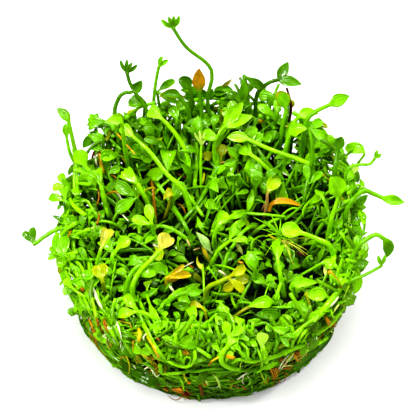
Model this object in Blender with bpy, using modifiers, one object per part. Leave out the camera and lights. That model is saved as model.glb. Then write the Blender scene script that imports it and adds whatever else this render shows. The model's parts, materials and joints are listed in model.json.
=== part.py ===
"""Dwarf water clover (Marsilea): a clump grown in a round cup and lifted out of it whole.

The clump is a low plug that narrows downward as the cup did. Its foot is a mat of pressed
rhizomes and roots. Above it stands a dense tangle of stalks and small leaves, low in front and
taller at the back. From the tangle rise the longer leaves: a thin stalk with one, two, three or
four small lobes at its end.

Frame: origin at the centre of the flat underside, +Z up, the side seen in front is -Y.
Lengths below are in millimetres and become metres where a mesh is made.
"""

import math
import random
from collections import namedtuple

import bmesh
import bpy
from mathutils import Vector, noise
from mathutils.bvhtree import BVHTree

MM = 0.001

# Driving dimensions of the plug
FOOT_RADIUS = 31.0
RIM_RADIUS = 35.0
MAT_HEIGHT = 7.0
RIM_HEIGHT = 22.0
DISH_DEPTH = 3.0
BACK_RISE = 10.5
BACK_RISE_START = 11.0
BACK_RISE_END = 29.0
SEAT_GAP = 0.3

# How the tangle climbs along its sides: side, y where the climb starts, slope, most
SIDE_RISES = (
    (1.0, -3.0, 0.75, 9.0),
    (-1.0, 8.0, 0.9, 5.0),
)
SIDE_RISE_START = 20.0
SIDE_RISE_END = 31.0

# Hollows in the tangle's top: centre x and y, radius, depth
HOLLOWS = (
    (-13.0, 8.5, 7.0, 5.0),
    (-21.0, 5.0, 5.0, 3.5),
    (-6.0, 6.0, 5.0, 4.0),
    (-8.0, -5.0, 5.0, 3.5),
    (12.0, 6.5, 7.0, 5.5),
    (20.0, 2.0, 5.5, 4.5),
    (1.5, -2.0, 8.0, 5.0),
    (20.0, -7.0, 5.0, 3.5),
    (10.5, -16.0, 5.5, 4.5),
    (4.5, -13.0, 5.0, 4.0),
    (-3.0, -14.5, 5.0, 4.0),
    (-14.5, -12.0, 4.5, 3.0),
)

# Unevenness of the two masses: slow swells, and tufts of small leaves that stand out of the tangle
MAT_LUMP = 0.5
TANGLE_LUMP = 0.9
TUFT_HEIGHT = 1.7
TUFT_SHARE = 0.34
SEED = 11
MAT_SIDES = 40

# Driving dimensions of the leaves: a leaf with lobes under NARROW_LOBE wide is a thin one,
# and the blades turn their upper side to FACING
STALK_RADIUS = 0.55
THIN_STALK_RADIUS = 0.42
BLADE_THICKNESS = 0.55
THIN_BLADE_THICKNESS = 0.38
NARROW_LOBE = 1.5
FACING = Vector((0.0, -0.55, 0.83))

# Driving dimensions of the creeping stems
RUNNER_RADIUS = 0.7
RUNNER_GAP = 0.9

# Distance between the rings of a stalk and of a creeping stem
STALK_STEP = 4.6
RUNNER_STEP = 2.5

# Colour, roughness of each finish
FINISHES = {
    "mat_green": ((0.045, 0.14, 0.01), 0.6),
    "tangle_green": ((0.09, 0.32, 0.01), 0.5),
    "fresh_green": ((0.24, 0.75, 0.01), 0.35),
    "shade_green": ((0.08, 0.36, 0.01), 0.4),
    "fading_yellow": ((0.62, 0.6, 0.02), 0.45),
    "dying_orange": ((0.6, 0.22, 0.01), 0.5),
    "dead_brown": ((0.14, 0.03, 0.01), 0.6),
}

# How a leaf's lobes spread from the end of its stalk, in degrees
LOBE_ANGLES = {
    "spoon": (0,),
    "pair": (-27, 27),
    "fan": (-36, 0, 36),
    "clover": (-48, -16, 16, 48),
}

# Facets across and along a lobe of each form
LOBE_FACETS = {
    "spoon": (2, 3),
    "pair": (1, 3),
    "fan": (1, 3),
    "clover": (1, 3),
}

# A leaf: its root takes the facet of the tangle below the path's first point, the path ends
# where the blade starts, and the tip is the blade's far end.
Leaf = namedtuple("Leaf", "name form finish lobe_width path tip")

BACK_LEAVES = (
    Leaf("tall_curled_clover", "clover", "fresh_green", 1.2,
         ((2, 27, 21), (-0.5, 29, 37), (0.5, 32, 42.5), (-0.5, 33.5, 45.5), (-5.5, 35, 49.5),
          (-8.5, 36, 54.5)), (-9, 36.5, 58)),
    Leaf("back_left_bud", "clover", "shade_green", 1.1,
         ((-12, 25, 21), (-14.5, 27, 35), (-18.5, 30, 41.5), (-19.5, 31, 45)), (-18.5, 31.5, 48.5)),
    Leaf("back_left_folded_leaf", "pair", "fresh_green", 1.1,
         ((-9, 28, 21), (-13, 29, 35), (-13, 30, 41), (-12, 31, 47)), (-10, 31.5, 49.5)),
    Leaf("back_left_round_leaf", "spoon", "shade_green", 2.9,
         ((-20, 24, 21), (-22.5, 25.5, 36), (-21.5, 26.5, 41), (-20, 27, 42.5), (-18.8, 27.5, 42)),
         (-16, 28, 45.5)),
    Leaf("back_left_yellow_leaf", "spoon", "fading_yellow", 2.6,
         ((-19.5, 19.5, 26), (-20.2, 18.6, 35), (-20.5, 19, 40.5)), (-23.8, 19, 41)),
    Leaf("orange_leaf", "spoon", "dying_orange", 3.1,
         ((-1.8, 25, 30), (-2, 27, 36), (-2.5, 28.5, 41.5)), (-2.5, 29.5, 48)),
    Leaf("back_dark_leaf", "spoon", "shade_green", 3.4,
         ((-5, 28.5, 31), (-4.3, 29.5, 35.5), (-4.5, 31, 39)), (-7.5, 32, 42)),
    Leaf("back_narrow_leaf", "spoon", "shade_green", 2.0,
         ((-5, 25.5, 21), (-5, 26, 37), (-7, 27, 41)), (-12, 26, 42)),
    Leaf("back_arched_leaf", "pair", "shade_green", 2.4,
         ((7, 25.5, 21), (9, 28, 38), (8, 30.5, 44.5)), (10.8, 27.5, 41)),
    Leaf("back_right_oval_leaf", "pair", "shade_green", 2.7,
         ((11.2, 27.5, 31), (11, 29, 39), (13.5, 30.5, 42), (16.5, 31.5, 42.5)), (21, 32, 45)),
    Leaf("back_right_far_leaf", "spoon", "fresh_green", 3.0,
         ((22, 21, 21), (22.5, 21, 38), (24.5, 21.8, 41.2), (28, 23, 42.5)), (32, 24, 44)),
    Leaf("back_right_low_leaf", "spoon", "fresh_green", 2.6,
         ((18.4, 22.8, 21), (19, 23, 34), (21, 23.5, 38)), (25.5, 23.5, 39)),
    Leaf("back_right_large_leaf", "spoon", "fresh_green", 4.0,
         ((16.5, 23.5, 30), (17.3, 24.6, 34), (18, 25.8, 37.5)), (15.5, 27.5, 42)),
    Leaf("right_back_leaf_1", "spoon", "fresh_green", 3.4,
         ((17, 18, 21), (18, 19, 32.4), (18.8, 19.5, 36.2)), (22.8, 18.7, 38.8)),
    Leaf("right_back_leaf_2", "pair", "fresh_green", 2.4,
         ((23, 13.5, 21), (24, 15, 34), (23.2, 17.5, 40)), (27, 17.5, 40.5)),
    Leaf("right_back_leaf_3", "spoon", "shade_green", 2.6,
         ((28.8, 8.6, 21), (28.8, 9.4, 32.4), (29.5, 13, 36.5)), (30.5, 14.5, 40.5)),
    Leaf("right_curled_tendril", "pair", "fresh_green", 0.9,
         ((30, 5.5, 21), (31.5, 8, 35), (34, 9, 36.8), (36.8, 9.5, 36.5), (38, 10.5, 37.5)),
         (39, 10.5, 39.5)),
)

RIGHT_LEAVES = (
    Leaf("right_long_leaf", "spoon", "fresh_green", 2.5,
         ((31, 2, 20), (32, 2.2, 30.4), (35.2, 4.4, 32.9), (37.5, 5, 31.5), (40, 4.5, 30.5)), (45, 3.5, 30)),
    Leaf("right_cup_leaf", "spoon", "fresh_green", 4.8,
         ((27.5, 0, 21), (28, 0.2, 27.8), (29.3, 2.6, 31.4)), (27.5, 5, 37)),
    Leaf("right_arching_leaf", "spoon", "shade_green", 2.6,
         ((30, -10, 20.5), (33.5, -9.2, 29), (35.5, -8.5, 31), (37.5, -8.5, 32.5), (39.3, -9, 31.5)),
         (40, -11, 27.5)),
    Leaf("right_low_bud", "pair", "fresh_green", 0.9,
         ((29, -15, 19.5), (31.5, -15, 23.5), (35, -14.5, 25.5), (38.5, -14, 28)), (38.5, -13.2, 31)),
    Leaf("right_low_leaf", "spoon", "shade_green", 2.6,
         ((31, -11.5, 20), (32.2, -12, 24), (33.2, -12, 25.5)), (36, -12, 27)),
    Leaf("star_leaf", "spoon", "fresh_green", 3.9,
         ((29.5, -6, 21), (27.5, -6.5, 26), (24.5, -6, 28), (22, -5.5, 29)), (16.5, -4, 29.3)),
    Leaf("right_funnel_leaf", "spoon", "fresh_green", 3.4,
         ((17, -15, 19), (16, -13.5, 24), (15.5, -11.5, 26)), (15.5, -7.5, 27.2)),
    Leaf("yellow_round_leaf", "spoon", "fading_yellow", 3.3,
         ((13, 9.5, 19), (13.5, 10, 23), (13.5, 10.5, 25)), (16.5, 14, 27)),
    Leaf("long_stalk_leaf", "spoon", "fresh_green", 2.6,
         ((23.4, 14.6, 25), (23.8, 14.8, 29.6), (21, 16.2, 31), (14.5, 18, 32.5), (9, 20.5, 33.5)),
         (4, 21.5, 33)),
    Leaf("thick_stalk_leaf", "pair", "fresh_green", 2.4,
         ((16.3, 12.5, 22), (15.5, 14.8, 26), (12, 16.8, 29.5), (10, 18, 30.5)), (7.3, 20.6, 31)),
    Leaf("right_flat_leaf", "spoon", "fresh_green", 2.6,
         ((19.5, -16.5, 22), (18.6, -17, 24.6)), (24.3, -16.8, 25.4)),
    Leaf("right_round_leaf", "spoon", "fresh_green", 3.2,
         ((25.5, -19.5, 22), (26.3, -20, 24.3)), (21.8, -20.3, 25.3)),
)

CENTRE_LEAVES = (
    Leaf("tall_bright_leaf", "pair", "fresh_green", 3.2,
         ((1.5, 19.5, 26), (1, 20.5, 31), (2.5, 22.8, 33.8), (5, 24.5, 36)), (9.3, 26, 38)),
    Leaf("diagonal_leaf", "spoon", "fresh_green", 3.3,
         ((-4, 9, 21), (-7, 11.5, 26), (-10, 13.5, 28.7), (-14, 17.5, 32), (-17, 20, 33.4)),
         (-21, 23.7, 34.8)),
    Leaf("left_back_wide_leaf", "spoon", "fresh_green", 3.5,
         ((-5, 16.5, 23), (-5.2, 18.5, 29), (-7.5, 21.5, 33), (-10.5, 23.7, 36)), (-14.3, 26, 37.5)),
    Leaf("fork_clover", "clover", "fading_yellow", 0.95,
         ((-2, 15, 21), (-2.2, 18, 28), (-2, 20, 32)), (-1.7, 22, 35)),
    Leaf("centre_small_leaf", "pair", "fresh_green", 1.8,
         ((0, -6, 19), (2, -5.5, 23.5), (4.5, -4, 25)), (7.7, -1.5, 26)),
    Leaf("centre_leaf", "spoon", "fresh_green", 3.3,
         ((1, 0, 19), (1, -0.5, 22.5), (1.3, 0, 24)), (4, 3, 27)),
    Leaf("centre_right_leaf", "spoon", "fresh_green", 2.7,
         ((10.5, -12, 22), (10.2, -11.5, 24.2)), (8.5, -8, 26.4)),
    Leaf("yellow_curled_leaf", "pair", "fading_yellow", 2.2,
         ((-1, -17.3, 22), (-0.5, -18, 25), (2, -18.5, 27.8), (4, -18, 28.7)), (8.7, -17.5, 28)),
    Leaf("orange_open_leaf", "pair", "dying_orange", 1.8,
         ((-10, -14, 22), (-9.8, -14.2, 24.3)), (-4.5, -11.5, 25.3)),
    Leaf("front_arching_leaf", "spoon", "fresh_green", 2.4,
         ((-10.5, -20, 19), (-9.5, -21, 23.5), (-7.5, -21, 26), (-5.5, -20.5, 26.5)), (-2, -19.8, 25.5)),
)

LEFT_LEAVES = (
    Leaf("left_back_fan", "fan", "fresh_green", 2.0,
         ((-21.5, 22.5, 29), (-22.3, 23.6, 33.5), (-25, 25.3, 34.5)), (-29.3, 26.3, 33.5)),
    Leaf("left_small_oval_leaf", "spoon", "fresh_green", 1.8,
         ((-29, 18, 24), (-33, 20.4, 27.5), (-34, 22.5, 31)), (-34, 25, 34)),
    Leaf("left_tall_leaf", "spoon", "fresh_green", 2.2,
         ((-29.2, 13, 20), (-30.4, 14.6, 27.5), (-32.3, 20, 33), (-33.3, 23, 37)), (-36, 25.5, 38.5)),
    Leaf("left_triangle_leaf", "pair", "fresh_green", 2.2,
         ((-31.5, 8.5, 20), (-33.5, 11, 25.5), (-34, 12, 26.5)), (-37, 13.5, 27)),
    Leaf("left_lobe_leaf", "spoon", "fresh_green", 3.8,
         ((-27, 14, 21), (-28, 14.3, 27.6), (-28.9, 15, 29)), (-31.3, 18, 32.5)),
    Leaf("left_funnel_leaf", "spoon", "fresh_green", 3.3,
         ((-23.5, 9, 19.5), (-25, 10, 24), (-25.5, 11, 26.3)), (-27, 15, 28.5)),
    Leaf("left_fan", "fan", "fresh_green", 2.2,
         ((-13, 9, 19), (-15.5, 10.5, 24.5), (-17, 12, 27)), (-20.3, 15.5, 28)),
    Leaf("left_outlying_leaf", "pair", "shade_green", 1.9,
         ((-32, 1.5, 21), (-34.5, 1.7, 23), (-38.3, 0.9, 21.4), (-41, -0.2, 19.6)), (-43.2, 3.6, 20.8)),
    Leaf("left_big_leaf", "spoon", "fresh_green", 4.2,
         ((-31, -8, 19), (-33.2, -7.5, 22)), (-34.5, -1, 24.5)),
    Leaf("yellow_funnel_leaf", "spoon", "fading_yellow", 3.2,
         ((-26.5, -8, 22), (-25.3, -6.6, 24)), (-23.5, -1.8, 26.6)),
    Leaf("left_green_leaf", "spoon", "fresh_green", 2.9,
         ((-22, -8.5, 19), (-22.5, -7, 22.6), (-21.8, -6, 23.6)), (-18.5, -3, 24.8)),
    Leaf("yellow_round_left_leaf", "spoon", "fading_yellow", 3.9,
         ((-24, -15, 22), (-24.3, -15, 23.8)), (-25.3, -11.2, 25)),
    Leaf("arching_yellow_leaf", "pair", "fading_yellow", 2.4,
         ((-16.5, -19, 19), (-17.5, -18.5, 25), (-16, -16, 28), (-13.3, -13, 29), (-11.5, -10.5, 29)),
         (-9.3, -5.5, 28.3)),
    Leaf("front_left_curled_leaf", "pair", "fresh_green", 2.4,
         ((-11.2, -26.5, 22), (-12.5, -26.2, 24.6), (-16, -25.3, 25.8)), (-20.5, -23.8, 26.6)),
    Leaf("front_hooked_leaf", "pair", "fresh_green", 2.2,
         ((5, -30, 22), (4.2, -31.5, 24.5)), (5.4, -29, 27.5)),
)

# A bare stalk that has lost its lobes
DEAD_STALK = ((18.5, 28.5, 30), (19.4, 29.3, 34), (19.1, 29.7, 37.5), (18.2, 30, 41))

# Creeping stems that the cup's wall pressed against the tangle
Runner = namedtuple("Runner", "name points")

RUNNERS = (
    Runner("runner_right", ((33, -6, 18), (31, -13, 16.5), (27, -20, 15.5), (21, -25, 16))),
    Runner("runner_front_right", ((25.5, -19, 9), (20, -25, 10.5), (13, -29, 11.5), (6, -31, 13))),
    Runner("runner_front", ((-16, -27, 12), (-9, -30, 10), (-2, -31.5, 9.5), (4, -31, 9.5))),
)


def finish_material(name):
    """The Principled material for a named finish, made once."""
    found = bpy.data.materials.get(name)
    if found:
        return found
    colour, roughness = FINISHES[name]
    material = bpy.data.materials.new(name)
    material.use_nodes = True
    shader = material.node_tree.nodes["Principled BSDF"]
    shader.inputs["Base Color"].default_value = (*colour, 1.0)
    shader.inputs["Roughness"].default_value = roughness
    shader.inputs["Metallic"].default_value = 0.0
    material.diffuse_color = (*colour, 1.0)
    return material


def add_object(name, data, collection, finish):
    """A new object in the collection, with its finish."""
    made = bpy.data.objects.new(name, data)
    collection.objects.link(made)
    data.materials.append(finish_material(finish))
    return made


def profile_point(share, profile):
    """The point of a turned profile above which this share of its area lies."""
    areas = [
        math.pi * (r0 + r1) * math.hypot(r1 - r0, z1 - z0)
        for (r0, z0), (r1, z1) in zip(profile, profile[1:])
    ]
    left = share * sum(areas)
    for area, (r0, z0), (r1, z1) in zip(areas, profile, profile[1:]):
        if left <= area:
            break
        left -= area
    part = min(1.0, left / area)
    if r0 != r1:
        part = (math.sqrt(r0 * r0 + part * (r1 * r1 - r0 * r0)) - r0) / (r1 - r0)
    return r0 + part * (r1 - r0), z0 + part * (z1 - z0)


def swell(place):
    """A slow, even unevenness between about -1 and 1 that depends on the place alone."""
    return noise.noise(place * 0.16) + 0.6 * noise.noise(place * 0.37)


def turned_place(direction, radius, height):
    """The place at a radius and height, on the side a direction points to."""
    around = math.atan2(direction.y, direction.x)
    return Vector((radius * math.cos(around), radius * math.sin(around), height))


def root_mat(collection, waist):
    """The pressed foot of the plug: turned in rings, flat below, its wall lumpy."""
    profile = ((0, MAT_HEIGHT), (waist * 0.55, MAT_HEIGHT), (waist - 1.5, MAT_HEIGHT),
               (waist, MAT_HEIGHT - 1.5), (FOOT_RADIUS, 1.2), (FOOT_RADIUS - 0.8, 0), (0, 0))
    rings = len(profile) - 1
    bm = bmesh.new()
    bmesh.ops.create_uvsphere(bm, u_segments=MAT_SIDES, v_segments=rings, radius=1.0)
    for vertex in bm.verts:
        ring = round(math.acos(max(-1.0, min(1.0, vertex.co.z))) / math.pi * rings)
        place = turned_place(vertex.co, *profile[ring])
        if place.z > 0.0:
            outward = Vector((place.x, place.y, 0.0)).normalized()
            place += outward * MAT_LUMP * swell(place)
        vertex.co = place * MM
    mesh = bpy.data.meshes.new("root_mat")
    bm.to_mesh(mesh)
    bm.free()
    return add_object("root_mat", mesh, collection, "mat_green")


def ramp(low, high, value):
    """0 below low, 1 above high and a smooth ramp between."""
    t = max(0.0, min(1.0, (value - low) / (high - low)))
    return t * t * (3.0 - 2.0 * t)


def rise(place):
    """How much taller the tangle stands here than at its front rim, at the back and along the sides."""
    back = BACK_RISE * ramp(BACK_RISE_START, BACK_RISE_END, place.y)
    side = 0.0
    for way, start, slope, most in SIDE_RISES:
        climb = min(most, max(0.0, slope * (place.y - start)))
        side = max(side, climb * ramp(SIDE_RISE_START, SIDE_RISE_END, way * place.x) - 0.6 * back)
    return back + side


def hollow(place):
    """How far the tangle's top sinks here."""
    depth = 0.0
    for x, y, radius, most in HOLLOWS:
        reach = math.hypot(place.x - x, place.y - y) / radius
        depth = max(depth, most * (1.0 - ramp(0.45, 1.0, reach)))
    return depth


def stalk_tangle(collection, waist):
    """The dense mass above the mat: an even net of facets wrapped over the plug, with tufts."""
    seat = MAT_HEIGHT + SEAT_GAP
    profile = ((0, RIM_HEIGHT - DISH_DEPTH), (RIM_RADIUS * 0.6, RIM_HEIGHT - 0.6 * DISH_DEPTH),
               (RIM_RADIUS - 4.0, RIM_HEIGHT), (RIM_RADIUS - 0.6, RIM_HEIGHT - 3.5),
               (waist + 0.4, seat + 1.5), (waist - 1.0, seat), (0, seat))
    chance = random.Random(SEED)
    bm = bmesh.new()
    bmesh.ops.create_icosphere(bm, subdivisions=4, radius=1.0)
    for vertex in bm.verts:
        place = turned_place(vertex.co, *profile_point((1.0 - vertex.co.z) / 2.0, profile))
        tuft = TUFT_HEIGHT * chance.uniform(0.5, 1.0) if chance.random() < TUFT_SHARE else 0.0
        lift = (place.z - seat) / (RIM_HEIGHT - seat)
        if lift > 0.1:
            flat = Vector((place.x, place.y, 0.0)) / RIM_RADIUS
            outward = (flat * flat.length + Vector((0.0, 0.0, max(0.0, lift * lift - 0.2)))).normalized()
            sunk = hollow(place) if lift > 0.8 else 0.0
            place.z += lift * rise(place) - sunk
            place += outward * (TANGLE_LUMP * swell(place) + tuft * min(1.0, lift * lift))
        vertex.co = place * MM
    mesh = bpy.data.meshes.new("stalk_tangle")
    bm.to_mesh(mesh)
    bm.free()
    return add_object("stalk_tangle", mesh, collection, "tangle_green")


def smooth_path(points, spacing):
    """Points at an even spacing along a smooth curve through the given points."""
    ends = [2 * points[0] - points[1], *points, 2 * points[-1] - points[-2]]
    fine = []
    for a, b, c, d in zip(ends, ends[1:], ends[2:], ends[3:]):
        for step in range(12):
            t = step / 12
            fine.append(0.5 * (2 * b + (c - a) * t + (2 * a - 5 * b + 4 * c - d) * t**2
                               + (3 * b - a - 3 * c + d) * t**3))
    fine.append(points[-1].copy())
    length = sum((q - p).length for p, q in zip(fine, fine[1:]))
    count = max(3, round(length / spacing))
    made, walked, target = [fine[0]], 0.0, length / count
    for p, q in zip(fine, fine[1:]):
        step = (q - p).length
        while walked + step >= target * len(made) and len(made) < count:
            made.append(p.lerp(q, (target * len(made) - walked) / step))
        walked += step
    return [*made, fine[-1]]


def tube_mesh(name, points, radius):
    """A closed round tube along points in millimetres, as a mesh."""
    curve = bpy.data.curves.new(name, "CURVE")
    curve.dimensions = "3D"
    curve.bevel_depth = radius * MM
    curve.bevel_resolution = 1
    curve.use_fill_caps = True
    spline = curve.splines.new("POLY")
    spline.points.add(len(points) - 1)
    for place, point in zip(points, spline.points):
        point.co = (*(place * MM), 1.0)
    holder = bpy.data.objects.new(name, curve)
    bpy.context.scene.collection.objects.link(holder)
    mesh = bpy.data.meshes.new_from_object(holder.evaluated_get(bpy.context.evaluated_depsgraph_get()))
    bpy.data.objects.remove(holder)
    bpy.data.curves.remove(curve)
    bm = bmesh.new()
    bm.from_mesh(mesh)
    bmesh.ops.remove_doubles(bm, verts=bm.verts, dist=0.01 * MM)
    bmesh.ops.triangulate(bm, faces=bm.faces)
    bm.to_mesh(mesh)
    bm.free()
    return mesh


def outline_share(t):
    """A lobe's half-width at t along it, as a share of its widest: narrow foot, round end."""
    return 0.3 + 0.7 * math.sin(math.pi * min(1.0, 0.12 + 0.8 * t) ** 1.35) ** 0.8


def blade_mesh(name, base, along, face, length, width, facets):
    """One lobe: a small grid shaped to a spoon, arched along and cupped across."""
    side = along.cross(face).normalized()
    up = side.cross(along).normalized()
    bm = bmesh.new()
    bmesh.ops.create_grid(bm, x_segments=facets[0], y_segments=facets[1], size=1.0)
    for vertex in bm.verts:
        across, t = vertex.co.x, (vertex.co.y + 1.0) / 2.0
        half = 0.5 * width * outline_share(t)
        rise = 0.07 * length * math.sin(math.pi * t) + 0.1 * width * across * across
        vertex.co = (base + along * (length * t) + side * (half * across) + up * rise) * MM
    mesh = bpy.data.meshes.new(name)
    bm.to_mesh(mesh)
    bm.free()
    return mesh


def leaf_object(leaf, ground, collection):
    """A whole leaf: stalk and lobes joined to one solid, its foot just above a facet of the tangle."""
    root, normal = facet_under(Vector(leaf.path[0]), ground)
    places = [root + normal * SEAT_GAP, root + normal * (SEAT_GAP + 1.0), *map(Vector, leaf.path[1:])]
    base, tip = places[-1], Vector(leaf.tip)
    along = (tip - base).normalized()
    length = (tip - base).length
    thin = leaf.lobe_width < NARROW_LOBE
    path = smooth_path([*places, base + along * min(1.0, 0.3 * length)], STALK_STEP)
    stalk = tube_mesh(leaf.name, path, THIN_STALK_RADIUS if thin else STALK_RADIUS)
    made = add_object(leaf.name, stalk, collection, leaf.finish)
    face = (FACING - along * FACING.dot(along)).normalized()
    side = along.cross(face)
    angles = LOBE_ANGLES[leaf.form]
    for number, angle in enumerate(angles):
        turn = math.radians(angle)
        aim = along * math.cos(turn) + side * math.sin(turn)
        start = base - aim * 0.2
        blade = blade_mesh("lobe", start, aim, face, length, leaf.lobe_width, LOBE_FACETS[leaf.form])
        lobe = bpy.data.objects.new("lobe", blade)
        bpy.context.scene.collection.objects.link(lobe)
        thicken = lobe.modifiers.new("Thickness", "SOLIDIFY")
        thicken.thickness = (THIN_BLADE_THICKNESS if thin else BLADE_THICKNESS) * MM
        thicken.offset = 0.4 * (number - (len(angles) - 1) / 2)
        lobe.modifiers.new("Facets", "TRIANGULATE")
        join(made, lobe)
    made.data.shade_smooth()
    made.data.set_sharp_from_angle(angle=math.radians(50))
    return made


def join(body, piece):
    """Unites a piece with the body, which keeps its name and material, and removes the piece."""
    union = body.modifiers.new("Join", "BOOLEAN")
    union.operation = "UNION"
    union.solver = "EXACT"
    union.object = piece
    graph = bpy.context.evaluated_depsgraph_get()
    joined = bpy.data.meshes.new_from_object(body.evaluated_get(graph))
    body.modifiers.clear()
    old, body.data = body.data, joined
    joined.name = body.name
    bpy.data.meshes.remove(old)
    bpy.data.objects.remove(piece)


def facet_under(place, ground):
    """Centre and outward direction of the tangle's facet below a place, or of the nearest one beside it."""
    tree, mesh = ground
    above = Vector((place.x, place.y, 2.0 * (RIM_HEIGHT + BACK_RISE)))
    _, _, index, _ = tree.ray_cast(above * MM, Vector((0.0, 0.0, -1.0)))
    if index is None:
        _, _, index, _ = tree.find_nearest(place * MM)
    facet = mesh.polygons[index]
    return facet.center / MM, facet.normal.copy()


def dead_stalk(ground, collection):
    """A thin dry stalk that stands alone on the tangle."""
    root, normal = facet_under(Vector(DEAD_STALK[0]), ground)
    places = [root + normal * SEAT_GAP, root + normal * (SEAT_GAP + 1.0), *map(Vector, DEAD_STALK[1:])]
    stalk = tube_mesh("dead_stalk", smooth_path(places, STALK_STEP), THIN_STALK_RADIUS)
    return add_object("dead_stalk", stalk, collection, "dead_brown")


def runner_object(runner, ground, collection):
    """A creeping stem that follows the wall of the tangle a little way off its tufts."""
    tree = ground[0]
    path = []
    for place in smooth_path([Vector(p) for p in runner.points], RUNNER_STEP):
        spot, normal, _, _ = tree.find_nearest(place * MM)
        outward = Vector((normal.x, normal.y, 0.0)).normalized()
        path.append(spot / MM + outward * (RUNNER_RADIUS + RUNNER_GAP))
    return add_object(runner.name, tube_mesh(runner.name, path, RUNNER_RADIUS), collection, "fresh_green")


def main():
    for old in list(bpy.data.objects):
        bpy.data.objects.remove(old)
    collection = bpy.data.collections.new("dwarf_water_clover")
    bpy.context.scene.collection.children.link(collection)

    waist = FOOT_RADIUS + (RIM_RADIUS - FOOT_RADIUS) * MAT_HEIGHT / RIM_HEIGHT
    root_mat(collection, waist)
    tangle = stalk_tangle(collection, waist)
    ground = (BVHTree.FromObject(tangle, bpy.context.evaluated_depsgraph_get()), tangle.data)

    for leaf in (*BACK_LEAVES, *RIGHT_LEAVES, *CENTRE_LEAVES, *LEFT_LEAVES):
        leaf_object(leaf, ground, collection)
    dead_stalk(ground, collection)
    for runner in RUNNERS:
        runner_object(runner, ground, collection)


main()
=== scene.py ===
"""The looks of the dwarf water clover: a clump of lobed leaves grown in a round cup.

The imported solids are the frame. Each leaf solid is replaced by a smooth leaf on the same path, and the
two solid masses by what they stand for: a dark core, about a thousand small leaves, the stems that the
cup's wall pressed flat, and the root mat. Lengths are in millimetres until a mesh is made.
"""

import json
import math
import random

import bpy
import numpy as np
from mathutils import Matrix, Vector, noise

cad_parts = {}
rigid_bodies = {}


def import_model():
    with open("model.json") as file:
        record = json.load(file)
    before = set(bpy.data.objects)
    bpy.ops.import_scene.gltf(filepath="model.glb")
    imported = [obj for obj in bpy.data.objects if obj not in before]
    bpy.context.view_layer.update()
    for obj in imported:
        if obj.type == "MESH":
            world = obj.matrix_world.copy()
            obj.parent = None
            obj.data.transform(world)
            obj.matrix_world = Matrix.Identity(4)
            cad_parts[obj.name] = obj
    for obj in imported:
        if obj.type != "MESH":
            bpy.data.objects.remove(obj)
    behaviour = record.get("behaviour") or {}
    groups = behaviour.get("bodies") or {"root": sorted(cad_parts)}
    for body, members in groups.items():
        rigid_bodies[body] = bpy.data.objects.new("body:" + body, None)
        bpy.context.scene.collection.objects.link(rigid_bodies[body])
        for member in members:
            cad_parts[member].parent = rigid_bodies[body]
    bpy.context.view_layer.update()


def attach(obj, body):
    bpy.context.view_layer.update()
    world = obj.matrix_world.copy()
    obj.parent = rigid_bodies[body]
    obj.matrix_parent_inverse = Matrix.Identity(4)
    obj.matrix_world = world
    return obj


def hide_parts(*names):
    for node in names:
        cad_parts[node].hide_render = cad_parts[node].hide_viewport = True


MM = 0.001
TURN = 2.0 * math.pi
SEED = 23

# Driving dimensions of the plug, as in the solids, and how far the leaf tips dish towards its middle
FOOT_RADIUS = 31.0
RIM_RADIUS = 35.0
MAT_HEIGHT = 7.0
RIM_HEIGHT = 22.0
TIP_DISH = 1.5
BACK_RISE = 10.5
BACK_RISE_START = 11.0
BACK_RISE_END = 29.0

# How the leaf tips climb along the sides: side, y where the climb starts, slope, most
SIDE_RISES = (
    (1.0, -3.0, 0.75, 9.0),
    (-1.0, 8.0, 0.9, 5.0),
)
SIDE_RISE_START = 20.0
SIDE_RISE_END = 31.0

# How far the leaf tips stand over the plug's surface, and what share of the back's rise the sides give up
TIP_RISE = 1.0
SIDE_YIELD = 0.6

# Hollows in the canopy: centre x and y, radius, how far the leaf tips stay down; and the share of the
# radius that lies at full depth
HOLLOWS = (
    (-13.0, 8.5, 7.0, 5.0),
    (-21.0, 5.0, 5.0, 3.5),
    (-6.0, 6.0, 5.0, 4.0),
    (-8.0, -5.0, 5.0, 3.5),
    (12.0, 6.5, 7.0, 5.5),
    (20.0, 2.0, 5.5, 4.5),
    (1.5, -2.0, 8.0, 5.0),
    (20.0, -7.0, 5.0, 3.5),
    (10.5, -16.0, 5.5, 4.5),
    (4.5, -13.0, 5.0, 4.0),
    (-3.0, -14.5, 5.0, 4.0),
    (-14.5, -12.0, 4.5, 3.0),
)
HOLLOW_FLOOR = 0.45

# The photograph's view: its height above the horizon, the camera's distance and the width it takes in
VIEW_ELEVATION = math.radians(48.0)
VIEW_DISTANCE = 400.0
VIEW_WIDTH = 98.5
VIEW_TARGET = np.array((-0.45, 9.0, 22.0))
VIEW_WAY = np.array((0.0, math.cos(VIEW_ELEVATION), -math.sin(VIEW_ELEVATION)))
PHOTO_PIXELS = 416.0
SENSOR_WIDTH = 36.0

# A line of sight is followed from here, in steps, down to this height over the floor
SIGHT_START = 355.0
SIGHT_STEP = 0.25
SIGHT_STEPS = 340
FLOOR_GAP = 0.5

# How much of a hollow the pieces placed by sight follow, how far they may stand off the wall, and how far
# their ends run on into the clump
HOLLOW_SHARE = 0.6
WALL_LIFT = 1.1
END_REACH = 3.5
ROOT_STEP = np.array((0.0, 2.0, -5.0))

# Pieces placed by sight: those above this height lie on the top, and their feet and ends sink in so far
TOP_HEIGHT = RIM_HEIGHT - 2.0
SUNK_END = 1.2
SUNK_BASE = 0.2

# Driving dimensions of the leaves, and the way that most of them face
STALK_RADIUS = 0.55
THIN_STALK_RADIUS = 0.4
BLADE_THICKNESS = 0.4
FACING = np.array((0.0, -0.55, 0.83))
FAN_SCALLOPS = 4
FAN_POINTS = 13
FAN_ROWS = 7

# How a leaf's stalk swells at its foot and narrows at its neck, as shares of its radius
FOOT_SWELL = 1.15
NECK_SHARE = 0.85

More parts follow.
